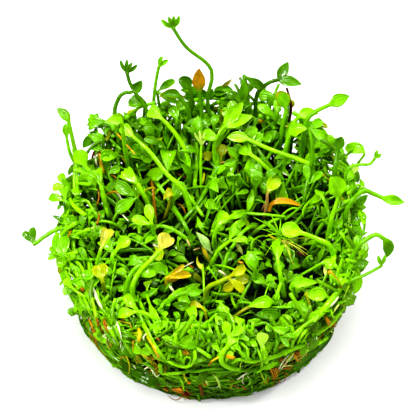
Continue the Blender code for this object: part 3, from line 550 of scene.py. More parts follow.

# Bits of colour on it, some white ones painted highlights: half width, height off the clump, tint, pixels
SEEN_FLECKS = (
    (0.55, 1.3, YELLOW, (76, 286), (80, 288)),
    (0.55, 1.5, BROWN, (80, 287.5), (83, 290)),
    (0.3, 1.6, ORANGE, (89, 319), (92, 326), (94, 331)),
    (0.42, 1.5, BROWN * 1.5, (92, 325), (94.5, 332), (96, 339)),
    (0.36, 1.4, ORANGE * 0.9, (102, 319), (105, 325), (109, 335)),
    (0.42, 1.5, BROWN, (104, 320), (106, 325.5)),
    (0.3, 1.3, BROWN * 0.9, (97, 320), (98.5, 325)),
    (0.56, 1.8, YELLOW * 0.6 + ORANGE * 0.5, (138.5, 329), (139.8, 334), (139, 340.5)),
    (0.4, 2.4, YELLOW * 0.9, (146, 335), (150, 341), (153, 346)),
    (0.56, 2.6, ORANGE * 0.7 + YELLOW * 0.4, (153, 344), (156, 350), (158.5, 356)),
    (0.42, 1.3, YELLOW * 0.7 + ORANGE * 0.4, (141, 351), (145, 355.5), (150, 360)),
    (0.2, 1.8, BROWN, (142, 353), (146, 357), (149, 360)),
    (0.35, 1.6, BROWN, (152, 325), (154.5, 330)),
    (0.3, 1.4, BROWN, (157, 338), (159, 340.5)),
    (0.2, 1.5, ORANGE * 0.8, (130, 311.5), (126, 316), (121, 322)),
    (0.2, 1.6, ROOT_AND_HIGHLIGHT_WHITE, (114, 319), (117, 325), (120, 332), (121.5, 339)),
    (0.3, 1.5, ROOT_AND_HIGHLIGHT_WHITE, (112, 318), (116, 322), (119, 329), (120, 335)),
    (0.2, 1.7, ROOT_AND_HIGHLIGHT_WHITE, (118, 322), (116, 326), (114, 327)),
    (0.22, 1.5, ROOT_AND_HIGHLIGHT_WHITE, (106, 326), (109, 328.5), (112, 328)),
    (0.2, 1.3, ROOT_AND_HIGHLIGHT_WHITE, (103, 336), (106.5, 338)),
    (0.2, 2.6, ROOT_AND_HIGHLIGHT_WHITE, (147, 333), (143.5, 337), (144, 340)),
    (0.18, 1.4, ROOT_AND_HIGHLIGHT_WHITE, (144.5, 369), (148, 367)),
    (0.2, 1.3, ROOT_AND_HIGHLIGHT_WHITE, (149.5, 367), (153, 371.5), (156.5, 376.5), (160, 374)),
    (0.2, 1.2, ROOT_AND_HIGHLIGHT_WHITE, (133.5, 365.5), (135.5, 368.5)),
    (0.2, 1.2, YELLOW, (121.5, 348), (125, 353), (128, 360), (129.5, 366), (129, 374)),
    (0.2, 1.1, ORANGE * 0.8, (119.5, 358.5), (124, 357), (127.5, 358.5)),
    (0.62, 2.0, YELLOW * 0.7 + ORANGE * 0.3, (184.5, 328.5), (191, 326.2)),
    (0.15, 1.4, ORANGE * 0.6, (183.5, 351), (187.5, 355)),
    (0.15, 1.4, ORANGE * 0.7, (185.5, 350), (189, 354)),
    (0.15, 1.4, BROWN, (182.5, 352.5), (185, 354.5)),
    (0.25, 1.2, YELLOW, (183.5, 373), (186, 379.5), (189, 383)),
    (0.35, 1.2, BROWN * 1.3, (187.5, 382.5), (191, 383)),
    (0.28, 1.4, YELLOW * 0.6 + ORANGE * 0.5, (212, 361), (219.5, 356.5)),
    (0.2, 1.2, BROWN, (209, 365), (212, 361)),
    (0.5, 1.6, ORANGE, (227.5, 356.5), (233, 357.5)),
    (0.2, 1.0, PALE, (205, 378.5), (207.5, 384.5)),
    (0.3, 0.8, BROWN * 1.2, (201, 381.5), (206, 385.5)),
    (0.5, 0.4, BROWN, (170, 387), (176, 390), (183, 392.5), (192, 396)),
    (0.42, 0.6, BROWN * 1.2 + ORANGE * 0.2, (175, 389), (180, 389.5), (184, 391)),
    (0.5, 0.5, DEAD * 1.4, (184, 393), (189, 395)),
    (0.35, 0.5, ORANGE * 0.5, (164, 388.5), (168, 391)),
    (0.5, 0.3, BROWN * 0.5, (200, 384), (202.5, 395)),
    (0.3, 0.5, BROWN * 0.9, (234.5, 385), (238.5, 388)),
    (0.3, 0.5, BROWN * 0.8, (242, 386), (245.5, 389)),
    (0.25, 1.0, FRESH, (177.5, 374.5), (182, 382), (184.5, 392)),
    (0.2, 1.2, YELLOW * 0.5 + FRESH * 0.5, (260.5, 371), (263, 378), (267.5, 384)),
    (0.2, 1.3, YELLOW * 0.4 + FRESH * 0.6, (240, 370), (240.5, 364.5), (243, 360.5)),
    (0.24, 1.3, ROOT_AND_HIGHLIGHT_WHITE, (237.5, 379.3), (243, 375.5), (249, 371.3)),
    (0.2, 1.3, ORANGE * 0.7, (270.5, 368.5), (274.5, 379)),
    (0.2, 1.3, BROWN * 1.1, (273, 368), (276.5, 378.5)),
    (0.2, 1.3, ORANGE * 0.7, (275.5, 368), (277.5, 376)),
    (0.2, 1.3, BROWN, (277, 368), (279.5, 372)),
    (0.18, 2.0, ROOT_AND_HIGHLIGHT_WHITE, (278, 370.5), (281, 365), (285, 359), (289, 355)),
    (0.18, 2.0, ROOT_AND_HIGHLIGHT_WHITE, (281, 369), (285, 364), (290, 358.5), (294, 353.5)),
    (0.18, 2.1, YELLOW, (286, 361), (290, 357), (294.5, 352)),
    (0.2, 1.8, PALE, (283, 366), (291.5, 365.5)),
    (0.42, 1.2, ORANGE * 0.9, (293.5, 353), (295.5, 356), (297.5, 360.5)),
    (0.36, 1.1, BROWN, (296.5, 352), (301, 353.5)),
    (0.15, 1.2, ORANGE * 0.8, (299.5, 350), (301.5, 356)),
    (0.15, 1.2, ORANGE * 0.8, (302.5, 350), (306.5, 355.5)),
    (0.3, 1.0, BROWN, (279, 360.5), (284, 359)),
    (0.3, 1.0, BROWN * 0.9, (284, 362.5), (288, 366.5)),
    (0.3, 0.8, BROWN * 1.1, (283, 368.5), (290.5, 368)),
    (0.55, 1.2, ORANGE * 0.7, (326, 317.5), (328.5, 322), (331, 328)),
    (0.5, 1.1, BROWN, (331, 318.5), (333.5, 323), (333, 328)),
    (0.4, 1.0, BROWN * 0.8, (337, 317.5), (334.5, 322)),
    # the next two are painted highlights, white glints on the stems in front on the right
    (0.3, 2.9, ROOT_AND_HIGHLIGHT_WHITE, (338.5, 297), (335, 301.5), (331, 306)),
    (0.3, 2.0, ROOT_AND_HIGHLIGHT_WHITE, (317, 325.5), (317, 331.5)),
    (0.3, 2.4, ROOT_AND_HIGHLIGHT_WHITE, (307, 344.5), (309, 342.5)),
    (0.16, 1.2, ROOT_AND_HIGHLIGHT_WHITE, (80, 268), (84, 276), (86, 286)),
    (0.34, 1.4, ORANGE * 0.5 + BROWN * 0.8, (70.5, 231.5), (68, 238), (65, 245.5)),
    (0.25, 1.0, BROWN * 1.3, (96.5, 187), (99, 196), (97, 205)),
    (0.3, 1.0, ROOT_AND_HIGHLIGHT_WHITE, (114, 188), (120, 197), (126.5, 209)),
    (0.25, 1.0, ORANGE, (104, 171.5), (112, 175), (119.5, 180.5)),
    (0.22, 1.0, ORANGE, (116, 216.5), (118, 211), (126, 212.5)),
    (0.6, 1.4, DEAD, (351.5, 253.5), (357.5, 249.5)),
    (0.5, 0.6, DEAD, (299, 253.5), (304.5, 254.5)),
    (0.6, 2.4, ORANGE * 0.7 + YELLOW * 0.3, (99, 148), (100, 157), (101, 165), (103, 172)),
    # a painted highlight on the orange leaf
    (0.35, 2.8, ROOT_AND_HIGHLIGHT_WHITE, (97, 154), (95.5, 160), (97, 165)),
    (0.35, 2.2, DEAD * 1.5, (97, 143), (96, 149), (93, 155), (92, 162)),
    (0.3, 0.8, ORANGE * 0.6 + YELLOW * 0.4, (121, 155), (124, 160), (127, 164)),
    (0.25, 1.0, ORANGE * 0.8, (109, 137), (115, 144), (121, 151)),
    (0.5, 0.8, PALE * 0.6 + YELLOW * 0.4, (163, 162), (167, 164), (170, 167)),
    (0.3, 0.4, YELLOW * 0.8, (144, 168), (151, 165), (158, 164)),
    (0.3, -0.5, BROWN * 0.8, (178, 174), (185, 177), (191, 180)),
    (0.35, 1.0, BROWN * 0.7 + PALE * 0.25, (220, 163), (226, 162), (233, 163)),
    (0.3, 0.6, YELLOW, (204, 174), (203, 183)),
    (0.3, 0.4, BROWN * 1.3 + ROOT_AND_HIGHLIGHT_WHITE * 0.3, (181, 192), (187, 193)),
    (0.25, -0.5, BROWN * 1.2, (181, 258), (187, 263), (193, 268)),
    (0.18, 0.2, ROOT_AND_HIGHLIGHT_WHITE * 0.9, (184, 267), (193, 262)),
    (0.22, 0.4, BROWN + ROOT_AND_HIGHLIGHT_WHITE * 0.4, (186, 238), (188, 242), (190, 247)),
    (0.22, 0.4, BROWN + ROOT_AND_HIGHLIGHT_WHITE * 0.4, (194, 250), (200, 248)),
    (0.3, 0.6, ORANGE, (239, 262), (243, 263)),
    (0.3, -1.0, BROWN * 0.7, (150, 183), (154, 186), (158, 191)),
    (0.3, 1.6, ROOT_AND_HIGHLIGHT_WHITE * 0.7 + ORANGE * 0.3, (219, 271), (223, 273), (226, 276)),
    (0.25, 1.0, ORANGE * 0.6 + ROOT_AND_HIGHLIGHT_WHITE * 0.3, (258, 187), (262, 187), (267, 190)),
    (0.3, 2.4, YELLOW * 0.7 + ORANGE * 0.3, (269, 235), (275, 239)),
    (0.2, 2.2, ORANGE, (277, 236), (283, 242), (287, 244)),
    # the next two are painted highlights, white glints among the leaves
    (0.3, 0.6, ROOT_AND_HIGHLIGHT_WHITE, (281, 171), (285, 174), (289, 176)),
    (0.25, 0.8, ROOT_AND_HIGHLIGHT_WHITE * 0.9, (262, 175), (270, 172)),
    (0.35, 0.8, ORANGE * 0.9, (175, 113), (176, 118)),
    (0.35, 1.2, ROOT_AND_HIGHLIGHT_WHITE * 0.8, (154, 245), (159, 248)),
    (0.35, 1.4, ROOT_AND_HIGHLIGHT_WHITE * 0.8 + YELLOW * 0.2, (168, 284), (171, 288), (174, 292)),
    (0.3, 1.4, ROOT_AND_HIGHLIGHT_WHITE * 0.6 + YELLOW * 0.4, (104, 233), (109, 234), (113, 236)),
    # a painted highlight along the yellow curled stalk
    (0.2, 2.6, ROOT_AND_HIGHLIGHT_WHITE * 0.8 + YELLOW * 0.2, (221, 283), (228, 280), (236, 279)),
)

# Leaves on it: form, width and height off the clump in millimetres, tint, pixels of stalk, base and tip
SEEN_LEAVES = (
    ("ovate", 1.9, 2.2, FRESH, (147, 296), (150, 305), (161, 334)),
    ("round", 2.7, -0.2, SHADE * 0.8, (137, 335), (134, 330), (121, 318)),
    ("round", 2.1, 0.3, MIDDLE * 0.8, (137, 340), (133, 337), (121, 333)),
    ("ovate", 2.4, 0.3, MIDDLE * 0.75, (120, 342), (122, 345), (136, 358)),
    ("wedge", 1.4, 1.0, SHADE, (88, 312), (80, 313), (69.5, 313.5)),
    ("ovate", 1.3, 0.4, SHADE, (82, 320), (84, 326), (91, 340)),
    ("ovate", 1.0, 0.4, MIDDLE * 0.7, (100, 322), (101, 329), (103, 340)),
    ("wedge", 1.9, 2.0, FRESH, (211, 322), (213, 317), (221, 325)),
    ("wedge", 2.4, 2.0, FRESH, (243, 336), (241, 330), (240, 318)),
    ("round", 2.7, 2.3, FRESH, (223, 356), (226, 350), (237, 333)),
    ("round", 1.5, 1.8, FRESH, (226, 360), (227, 358), (233, 352)),
    ("ovate", 1.5, 1.2, MIDDLE, (260, 339), (256, 340), (246, 346)),
    ("ovate", 1.2, 1.2, FRESH, (246, 331), (248, 331), (255, 334)),
    ("ovate", 1.5, 1.7, FRESH, (257, 372), (262, 369), (279, 362)),
    ("round", 3.3, 2.2, MIDDLE, (334, 291), (329, 293), (311, 292)),
    ("round", 2.4, 1.8, MIDDLE * 1.1, (312, 318), (308, 314), (297, 301)),
    ("round", 2.4, 2.0, FRESH, (325, 312), (320, 315), (308, 318)),
    ("round", 2.6, 1.5, FRESH, (331, 190), (326, 194), (311, 202)),
    ("round", 2.6, 1.0, FRESH * 0.95, (349, 213), (345, 217), (332, 227)),
    ("ovate", 1.2, 1.2, FRESH, (335, 267), (334, 263), (336, 253)),
    ("round", 1.9, 0.4, SHADE, (352, 268), (357, 266), (367, 262)),
    ("ovate", 2.0, 0.5, MIDDLE, (354, 212), (357, 206), (368, 195)),
    ("ovate", 2.0, 0.5, FRESH * 0.9, (351, 208), (356, 211), (367, 219)),
    ("ovate", 0.7, 0.7, MIDDLE, (360, 238), (361, 236), (368, 232)),
    ("round", 1.8, 0.7, MIDDLE, (350, 238), (352, 234), (359, 225)),
    ("round", 1.8, 0.7, MIDDLE * 0.9, (349, 250), (351, 246), (359, 238)),
    ("round", 2.4, -1.5, SHADE * 0.6, (312, 272), (308, 268), (297, 259)),
    ("ovate", 1.0, 0.2, PALE, (326, 279), (326, 276), (324, 265)),
    ("ovate", 1.5, 0.6, MIDDLE, (72, 194), (70, 190), (61, 178.5)),
    ("ovate", 1.0, 0.6, MIDDLE, (64, 204), (61, 205), (57.5, 210)),
    ("ovate", 1.1, 0.6, SHADE, (70, 224), (66, 222), (52, 215.5)),
    ("round", 1.9, 0.6, MIDDLE, (66, 244), (62, 245), (55.5, 246.5)),
    ("ovate", 0.75, 0.6, MIDDLE, (62, 259), (58, 257), (47, 254)),
    ("round", 2.6, 0.7, FRESH * 0.9, (71, 259), (67, 261), (56.5, 263)),
    ("round", 2.1, 0.8, MIDDLE, (82, 190), (85, 188), (96, 185)),
    ("ovate", 2.0, 0.9, FRESH, (74, 194), (76, 198), (83, 214)),
    ("round", 3.3, 0.9, MIDDLE * 1.05, (84, 224), (80, 223), (66, 222)),
    ("round", 2.4, 1.2, FRESH * 0.9, (94, 244), (92, 240), (90, 229)),
    ("round", 1.9, 1.0, FRESH, (89, 226), (89, 222), (91, 212)),
    ("ovate", 1.1, 0.6, PALE, (89, 229), (92, 228.5), (99.5, 226)),
    ("ovate", 2.0, 0.8, MIDDLE, (98, 224), (98, 220), (105, 211)),
    ("ovate", 1.5, 0.8, FRESH * 0.9, (114, 228), (116, 227), (127, 218)),
    ("ovate", 3.4, 0.3, SHADE * 0.75, (161, 384), (158, 382), (131, 371)),
    ("ovate", 1.8, 0.4, SHADE, (131, 375), (128, 371), (121, 360)),
    ("round", 1.8, 0.9, MIDDLE * 1.05, (86, 313), (86, 310), (84, 301)),
    ("round", 1.5, 0.9, FRESH * 0.85, (98, 327), (99, 330), (101, 339)),
    ("round", 2.0, 0.6, MIDDLE * 0.8, (122, 352), (121, 350), (112, 345)),
    ("ovate", 1.8, 0.8, FRESH * 0.9, (96, 288), (94, 285), (84, 278)),
    ("ovate", 2.2, 0.9, MIDDLE * 0.9, (110, 337), (112, 334), (124, 326)),
    ("round", 2.1, 1.4, FRESH, (152, 118), (149, 119), (140, 124)),
    ("round", 3.0, 1.4, FRESH * 0.95, (142, 129), (145, 131), (161, 134)),
    ("round", 2.5, 1.4, FRESH, (188, 126), (187, 122), (188, 108)),
    ("ovate", 1.9, 1.2, YELLOW * 0.4 + FRESH * 0.6, (146, 151), (149, 149), (163, 137)),
    ("ovate", 2.2, 1.2, FRESH * 0.9, (125, 122), (123, 120), (112, 113)),
    # among the leaves on top
    ("round", 2.8, 0.4, FRESH * 0.9, (140, 203), (138, 199), (136, 186)),
    ("round", 2.6, 0.4, FRESH * 0.9, (147, 214), (143, 213), (132, 211)),
    ("wedge", 2.4, 0.6, FRESH, (156, 224), (153, 219), (147, 206)),
    ("ovate", 2.0, 0.5, FRESH * 0.9, (152, 230), (148, 228), (131, 227)),
    ("round", 2.9, -0.4, MIDDLE * 0.5, (151, 242), (149, 239), (133, 235)),
    ("round", 1.8, 0.2, MIDDLE * 0.8, (124, 236), (124, 233), (123, 224)),
    ("wedge", 3.6, 0.8, FRESH, (124, 262), (118, 257), (103, 241)),
    ("round", 3.0, 1.6, YELLOW * 0.8 + PALE * 0.2, (108, 245), (108, 242), (108, 229)),
    ("round", 3.4, 2.2, YELLOW * 0.5 + ORANGE * 0.2 + PALE * 0.3, (157, 252), (158, 249), (169, 234)),
    ("round", 2.9, 2.2, YELLOW * 0.6 + FRESH * 0.4, (155, 247), (156, 248), (160, 261)),
    ("fan", 3.0, 0.8, FRESH, (130, 282), (127, 278), (118, 268)),
    ("round", 2.1, 0.8, FRESH * 0.8 + YELLOW * 0.2, (147, 296), (147, 291), (149, 281)),
    ("ovate", 1.7, 0.2, MIDDLE * 0.6, (152, 294), (153, 290), (156, 276)),
    ("ovate", 2.0, 1.8, ORANGE * 0.8 + YELLOW * 0.2, (166, 286), (169, 282), (190, 273)),
    ("ovate", 1.6, 1.5, FRESH, (178, 290), (184, 289), (201, 284)),
    ("ovate", 2.0, 0.4, FRESH * 0.9, (165, 200), (163, 202), (151, 203)),
    ("ovate", 2.3, 1.4, FRESH * 0.6 + ROOT_AND_HIGHLIGHT_WHITE * 0.4, (212, 254), (210, 251), (196, 232)),
    ("ovate", 1.2, 1.0, YELLOW * 0.7 + ORANGE * 0.3, (211, 264), (209, 260), (201, 246)),
    ("round", 2.7, 1.0, YELLOW * 0.8 + PALE * 0.2, (205, 274), (203, 271), (197, 259)),
    ("ovate", 1.7, 0.2, YELLOW * 0.4 + SHADE * 0.4, (203, 284), (200, 281), (193, 272)),
    ("round", 2.7, 0.6, FRESH * 0.9, (222, 213), (218, 210), (206, 202)),
    ("ovate", 1.3, 0.6, FRESH, (207, 235), (204, 232), (197, 216)),
    ("ovate", 3.2, 1.0, FRESH, (210, 236), (213, 232), (226, 217)),
    ("round", 3.0, 1.2, FRESH, (229, 242), (230, 238), (240, 228)),
    ("ovate", 1.9, 1.2, FRESH, (222, 222), (228, 219), (247, 210)),
    ("ovate", 2.0, 1.0, FRESH * 0.95, (226, 230), (231, 228), (246, 221)),
    ("ovate", 1.6, 0.4, YELLOW * 0.3 + FRESH * 0.6, (250, 236), (249, 232), (246, 219)),
    ("ovate", 1.6, 0.6, FRESH * 0.9, (247, 226), (250, 226), (258, 224)),
    ("ovate", 1.9, 1.6, FRESH, (246, 216), (248, 211), (253, 187)),
    ("round", 1.9, 0.4, FRESH * 0.9, (236, 202), (238, 199), (245, 193)),
    ("round", 2.2, 0.6, FRESH * 0.9, (250, 208), (252, 205), (262, 197)),
    ("wedge", 3.0, 0.8, FRESH, (243, 166), (240, 163), (226, 178)),
    ("ovate", 1.7, 0.8, MIDDLE * 1.1, (235, 262), (236, 257), (219, 268)),
    ("ovate", 2.1, 1.0, FRESH, (258, 276), (256, 272), (247, 253)),
    ("wedge", 2.7, 1.2, FRESH, (277, 262), (277, 257), (277, 240)),
    ("round", 1.9, 0.4, FRESH * 0.9, (290, 262), (289, 259), (286, 248)),
    ("round", 2.6, 0.4, FRESH * 0.9, (271, 290), (268, 286), (252, 276)),
    ("round", 2.6, 2.0, YELLOW, (236, 283), (235, 283), (223, 290)),
    ("round", 2.8, 2.0, YELLOW * 0.55 + SHADE * 0.35, (234, 280), (237, 279), (249, 281)),
    ("ovate", 1.1, 0.6, PALE * 0.6 + SHADE * 0.2, (234, 240), (236, 243), (243, 255)),
    ("ovate", 2.4, 1.0, YELLOW * 0.75 + SHADE * 0.25, (214, 158), (212, 157), (201, 155)),
    ("round", 2.8, 0.8, YELLOW * 0.6 + SHADE * 0.4, (220, 162), (221, 159), (222, 144)),
    ("round", 2.2, 0.6, YELLOW * 0.6 + SHADE * 0.25 + ORANGE * 0.15, (232, 163), (232, 160), (233, 148)),
    ("round", 2.6, 1.0, FRESH, (248, 150), (246, 150), (233, 147)),
    ("wedge", 2.6, 0.4, YELLOW * 0.3 + FRESH * 0.6, (248, 186), (248, 182), (248, 166)),
    ("round", 3.0, 0.4, YELLOW * 0.4 + FRESH * 0.6, (274, 196), (274, 193), (274, 180)),
    ("round", 1.8, 0.6, FRESH, (292, 190), (294, 190), (303, 189)),
    ("round", 2.6, 0.8, FRESH * 0.9, (140, 127), (142, 126), (152, 119)),
    ("ovate", 2.0, 0.4, FRESH * 0.85, (160, 131), (158, 132), (144, 134)),
    ("ovate", 2.2, 0.8, FRESH * 0.95, (160, 166), (161, 163), (165, 150)),
    ("round", 2.9, 0.4, MIDDLE * 0.9, (182, 165), (182, 162), (180, 150)),
    ("ovate", 3.1, 1.4, FRESH, (221, 118), (226, 114), (252, 103)),
    ("ovate", 2.6, 1.2, FRESH * 0.95, (220, 122), (225, 118), (251, 113)),
    ("ovate", 1.6, 0.6, MIDDLE, (217, 128), (215, 122), (208, 109)),
    ("ovate", 2.9, 0.4, SHADE * 0.8, (210, 100), (212, 96), (233, 105)),
    ("ovate", 2.4, 0.4, MIDDLE * 0.8, (205, 93), (202, 92), (180, 90)),
    # a dark leaf that paints the shade in a gap
    ("round", 2.9, -0.4, SHADE * 0.45, (203, 106), (203, 102), (199, 90)),
    ("ovate", 1.9, 0.6, SHADE * 0.6 + BROWN * 0.5, (182, 96), (180, 96), (163, 95)),
    ("ovate", 1.3, 0.8, SHADE * 0.6 + BROWN * 0.6, (198, 99), (196, 99), (180, 96)),
    ("ovate", 1.7, 1.2, MIDDLE * 0.8, (261, 107), (259, 110), (247, 120)),
    ("ovate", 1.7, 1.2, MIDDLE, (261, 107), (260, 112), (253, 128)),
    ("ovate", 1.7, 1.2, MIDDLE * 0.8, (262, 107), (263, 112), (264, 132)),
    ("ovate", 1.9, 1.2, MIDDLE, (264, 107), (266, 111), (274, 131)),
    ("ovate", 2.6, 1.4, MIDDLE * 1.1, (266, 108), (269, 111), (284, 127)),
    ("ovate", 1.5, 1.8, SHADE, (240, 78), (241, 80), (248, 94)),
    ("ovate", 1.2, 2.2, BROWN * 0.5 + PALE * 0.3 + SHADE * 0.3, (221, 88), (223, 86), (232, 79)),
    ("round", 2.0, 1.2, YELLOW * 0.8, (289, 110), (290, 109), (293, 100)),
    ("ovate", 1.8, 0.4, MIDDLE * 0.5, (310, 139), (308, 139), (291, 143)),
    ("ovate", 2.0, 0.8, FRESH * 0.95, (306, 137), (308, 139), (321, 149)),
    ("ovate", 1.7, 1.2, FRESH, (296, 128), (301, 126), (324, 123)),
    ("ovate", 2.4, 1.0, FRESH * 0.9, (314, 124), (317, 127), (329, 144)),
    ("wedge", 2.0, 0.8, FRESH * 0.95, (326, 162), (323, 158), (311, 158)),
    ("round", 1.4, 1.0, MIDDLE, (332, 147), (334, 145), (337, 138)),
    ("ovate", 2.0, 1.0, MIDDLE * 0.9, (342, 168), (341, 163), (340, 145)),
    ("round", 2.2, 1.0, FRESH * 0.9, (338, 176), (338, 174), (340, 164)),
    ("ovate", 1.2, 0.8, MIDDLE, (345, 158), (347, 155), (354, 149)),
    ("round", 2.2, 1.4, PALE * 0.4 + MIDDLE * 0.4, (352, 179), (353, 176), (354, 164)),
    ("ovate", 2.0, 0.6, FRESH, (296, 158), (292, 159), (278, 162)),
    ("ovate", 1.7, 0.4, FRESH * 0.8, (298, 152), (299, 152), (310, 150)),
    ("round", 2.0, 0.4, FRESH * 0.8, (124, 148), (124, 145), (125, 134)),
    ("ovate", 1.6, 0.4, FRESH * 0.8, (164, 143), (161, 145), (147, 149)),
    ("ovate", 1.8, 0.6, FRESH * 0.85, (170, 118), (168, 116), (150, 110)),
    ("ovate", 2.2, 0.6, FRESH * 0.85, (183, 133), (186, 131), (200, 125)),
    ("ovate", 2.2, 0.0, MIDDLE * 0.7, (302, 176), (300, 173), (290, 164)),
    ("round", 2.0, 0.6, FRESH * 0.85, (319, 212), (318, 208), (318, 197)),
    ("round", 2.8, 0.6, FRESH * 0.9, (307, 292), (303, 290), (290, 284)),
    ("round", 2.6, 0.4, FRESH * 0.85, (196, 306), (192, 304), (180, 296)),
    ("ovate", 2.2, 0.6, FRESH * 0.9, (196, 310), (191, 308), (172, 304)),
    ("round", 1.8, 0.4, FRESH * 0.9, (164, 315), (163, 313), (160, 307)),
    ("ovate", 1.9, 0.4, FRESH * 0.85, (204, 306), (204, 309), (200, 318)),
)

# Stars of pale roots: centre, the way they lean, how many, radius, tint
ROOT_STARS = (
    ((16.5, -5.5, 27.0), (0.7, -0.75, 0.0), 8, 0.2, YELLOW * 0.6 + PALE * 0.4),
    ((16.0, -4.0, 27.0), (-0.7, 0.6, 0.6), 9, 0.32, FRESH * 0.9),
    ((16.0, -4.5, 27.0), (-0.6, -0.3, 0.2), 4, 0.2, FRESH),
)

# Roots that stand alone: path, radius, tint
SINGLE_ROOTS = (
    (((-21.5, 7.5, 22), (-20.5, 5.5, 23.5), (-19, 3, 24)), 0.2, ROOT_AND_HIGHLIGHT_WHITE),
    (((-26.5, 7.5, 22), (-26.0, 5.5, 23), (-26.5, 3.0, 23)), 0.3, BROWN * 1.2),
    (((-24.5, 12.5, 23), (-22.5, 11.5, 25), (-20.5, 10.5, 25)), 0.3, ORANGE),
    (((-33.5, -0.5, 23), (-34.0, -1.5, 24), (-34.6, -4.0, 23)), 0.35, ORANGE * 0.8),
    (((-22.0, 22.0, 34), (-20.5, 19.5, 34), (-17.5, 16.0, 33)), 0.2, ORANGE),
)


def smooth_step(low, high, value):
    """0 below low, 1 above high and a smooth ramp between."""
    t = min(1.0, max(0.0, (value - low) / (high - low)))
    return t * t * (3.0 - 2.0 * t)


def wall_radius(height):
    """Radius of the cup's wall at a height above the floor."""
    return FOOT_RADIUS + (RIM_RADIUS - FOOT_RADIUS) * min(height, RIM_HEIGHT) / RIM_HEIGHT


def canopy_height(x, y):
    """Height of the leaf tips over a place on the plug."""
    share = min(1.0, math.hypot(x, y) / RIM_RADIUS)
    front = RIM_HEIGHT - TIP_DISH * (1.0 - share * share) + TIP_RISE
    back = BACK_RISE * smooth_step(BACK_RISE_START, BACK_RISE_END, y)
    side = 0.0
    for way, start, slope, most in SIDE_RISES:
        climb = min(most, max(0.0, slope * (y - start)))
        side = max(side, climb * smooth_step(SIDE_RISE_START, SIDE_RISE_END, x * way) - SIDE_YIELD * back)
    return front + back + side


def hollow_depth(x, y):
    """How far the leaf tips stay down in the clump's hollows."""
    depth = 0.0
    for centre_x, centre_y, radius, drop in HOLLOWS:
        reach = math.hypot(x - centre_x, y - centre_y) / radius
        depth = max(depth, drop * (1.0 - smooth_step(HOLLOW_FLOOR, 1.0, reach)))
    return depth


def sight(spot):
    """The camera's line of sight through a pixel of the photograph, and the camera's own place."""
    pixels = PHOTO_PIXELS * VIEW_DISTANCE / VIEW_WIDTH
    rise = np.array((0.0, math.sin(VIEW_ELEVATION), math.cos(VIEW_ELEVATION)))
    across, down = spot[0] - PHOTO_PIXELS / 2.0, spot[1] - PHOTO_PIXELS / 2.0
    way = unit(VIEW_WAY * pixels + np.array((across, 0.0, 0.0)) - rise * down)
    return way, VIEW_TARGET - VIEW_WAY * VIEW_DISTANCE


def seen_at(spot, lift):
    """Where a pixel of the photograph falls on the clump, or beside it when the pixel misses it."""
    way, eye = sight(spot)
    beside, nearest = None, math.inf
    for step in range(SIGHT_STEPS):
        place = eye + way * (SIGHT_START + step * SIGHT_STEP)
        sunk = HOLLOW_SHARE * hollow_depth(place[0], place[1])
        over = place[2] - canopy_height(place[0], place[1]) + TIP_RISE + sunk - lift
        outside = math.hypot(place[0], place[1]) - wall_radius(max(0.0, place[2])) - min(lift, WALL_LIFT)
        miss = max(over, outside)
        if place[2] < FLOOR_GAP:
            break
        if miss < nearest:
            beside, nearest = place, miss
        if miss <= 0.0:
            break
    return beside


# Meshes

class Growth:
    """Many tapering bodies that become one mesh, each point with its tint and its place on a blade."""

    def __init__(self):
        self.points, self.faces, self.tints, self.places = [], [], [], []
        self.count = 0

    def add_rings(self, rings, tints, places):
        """A body through rings of points, all with as many points, closed unless they have only three."""
        stations, sides = rings.shape[:2]
        index = np.arange(stations * sides).reshape(stations, sides) + self.count
        here, there = index[:-1], index[1:]
        quads = np.stack((here, np.roll(here, -1, 1), np.roll(there, -1, 1), there), axis=-1)
        ends = []
        for ring in (index[0, ::-1], index[-1]):
            for k in range(1, sides // 2):
                ends.append((ring[k - 1], ring[k], ring[sides - k - 1], ring[sides - k]))
        self.faces += [quads.reshape(-1, 4), np.array(ends, int).reshape(-1, 4)]
        self.points.append(rings.reshape(-1, 3))
        self.tints.append(np.repeat(tints, sides, axis=0) if len(tints) == stations else tints)
        self.places.append(places.reshape(-1, 3))
        self.count += stations * sides

    def make(self, name, material, slot):
        """The mesh object of all the bodies, pressed flat where it meets the floor, riding on the plant."""
        points = np.concatenate(self.points) * MM
        points[:, 2] = np.maximum(points[:, 2], 0.0)
        faces = np.concatenate(self.faces)
        mesh = bpy.data.meshes.new(name)
        mesh.vertices.add(len(points))
        mesh.vertices.foreach_set("co", points.ravel())
        mesh.loops.add(faces.size)
        mesh.loops.foreach_set("vertex_index", faces.ravel().astype(np.int32))
        mesh.polygons.add(len(faces))
        mesh.polygons.foreach_set("loop_start", np.arange(0, faces.size, 4, dtype=np.int32))
        mesh.update(calc_edges=True)
        mesh.validate()
        tint = mesh.color_attributes.new("tint", "FLOAT_COLOR", "POINT")
        rgba = np.ones((len(points), 4), np.float32)
        rgba[:, :3] = np.concatenate(self.tints)
        tint.data.foreach_set("color", rgba.ravel())
        place = mesh.attributes.new("place", "FLOAT_VECTOR", "POINT")
        place.data.foreach_set("vector", np.concatenate(self.places).astype(np.float32).ravel())
        mesh.materials.append(material)
        mesh.shade_smooth()
        made = bpy.data.objects.new(name, mesh)
        bpy.context.scene.collection.objects.link(made)
        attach(made, "root")
        return made


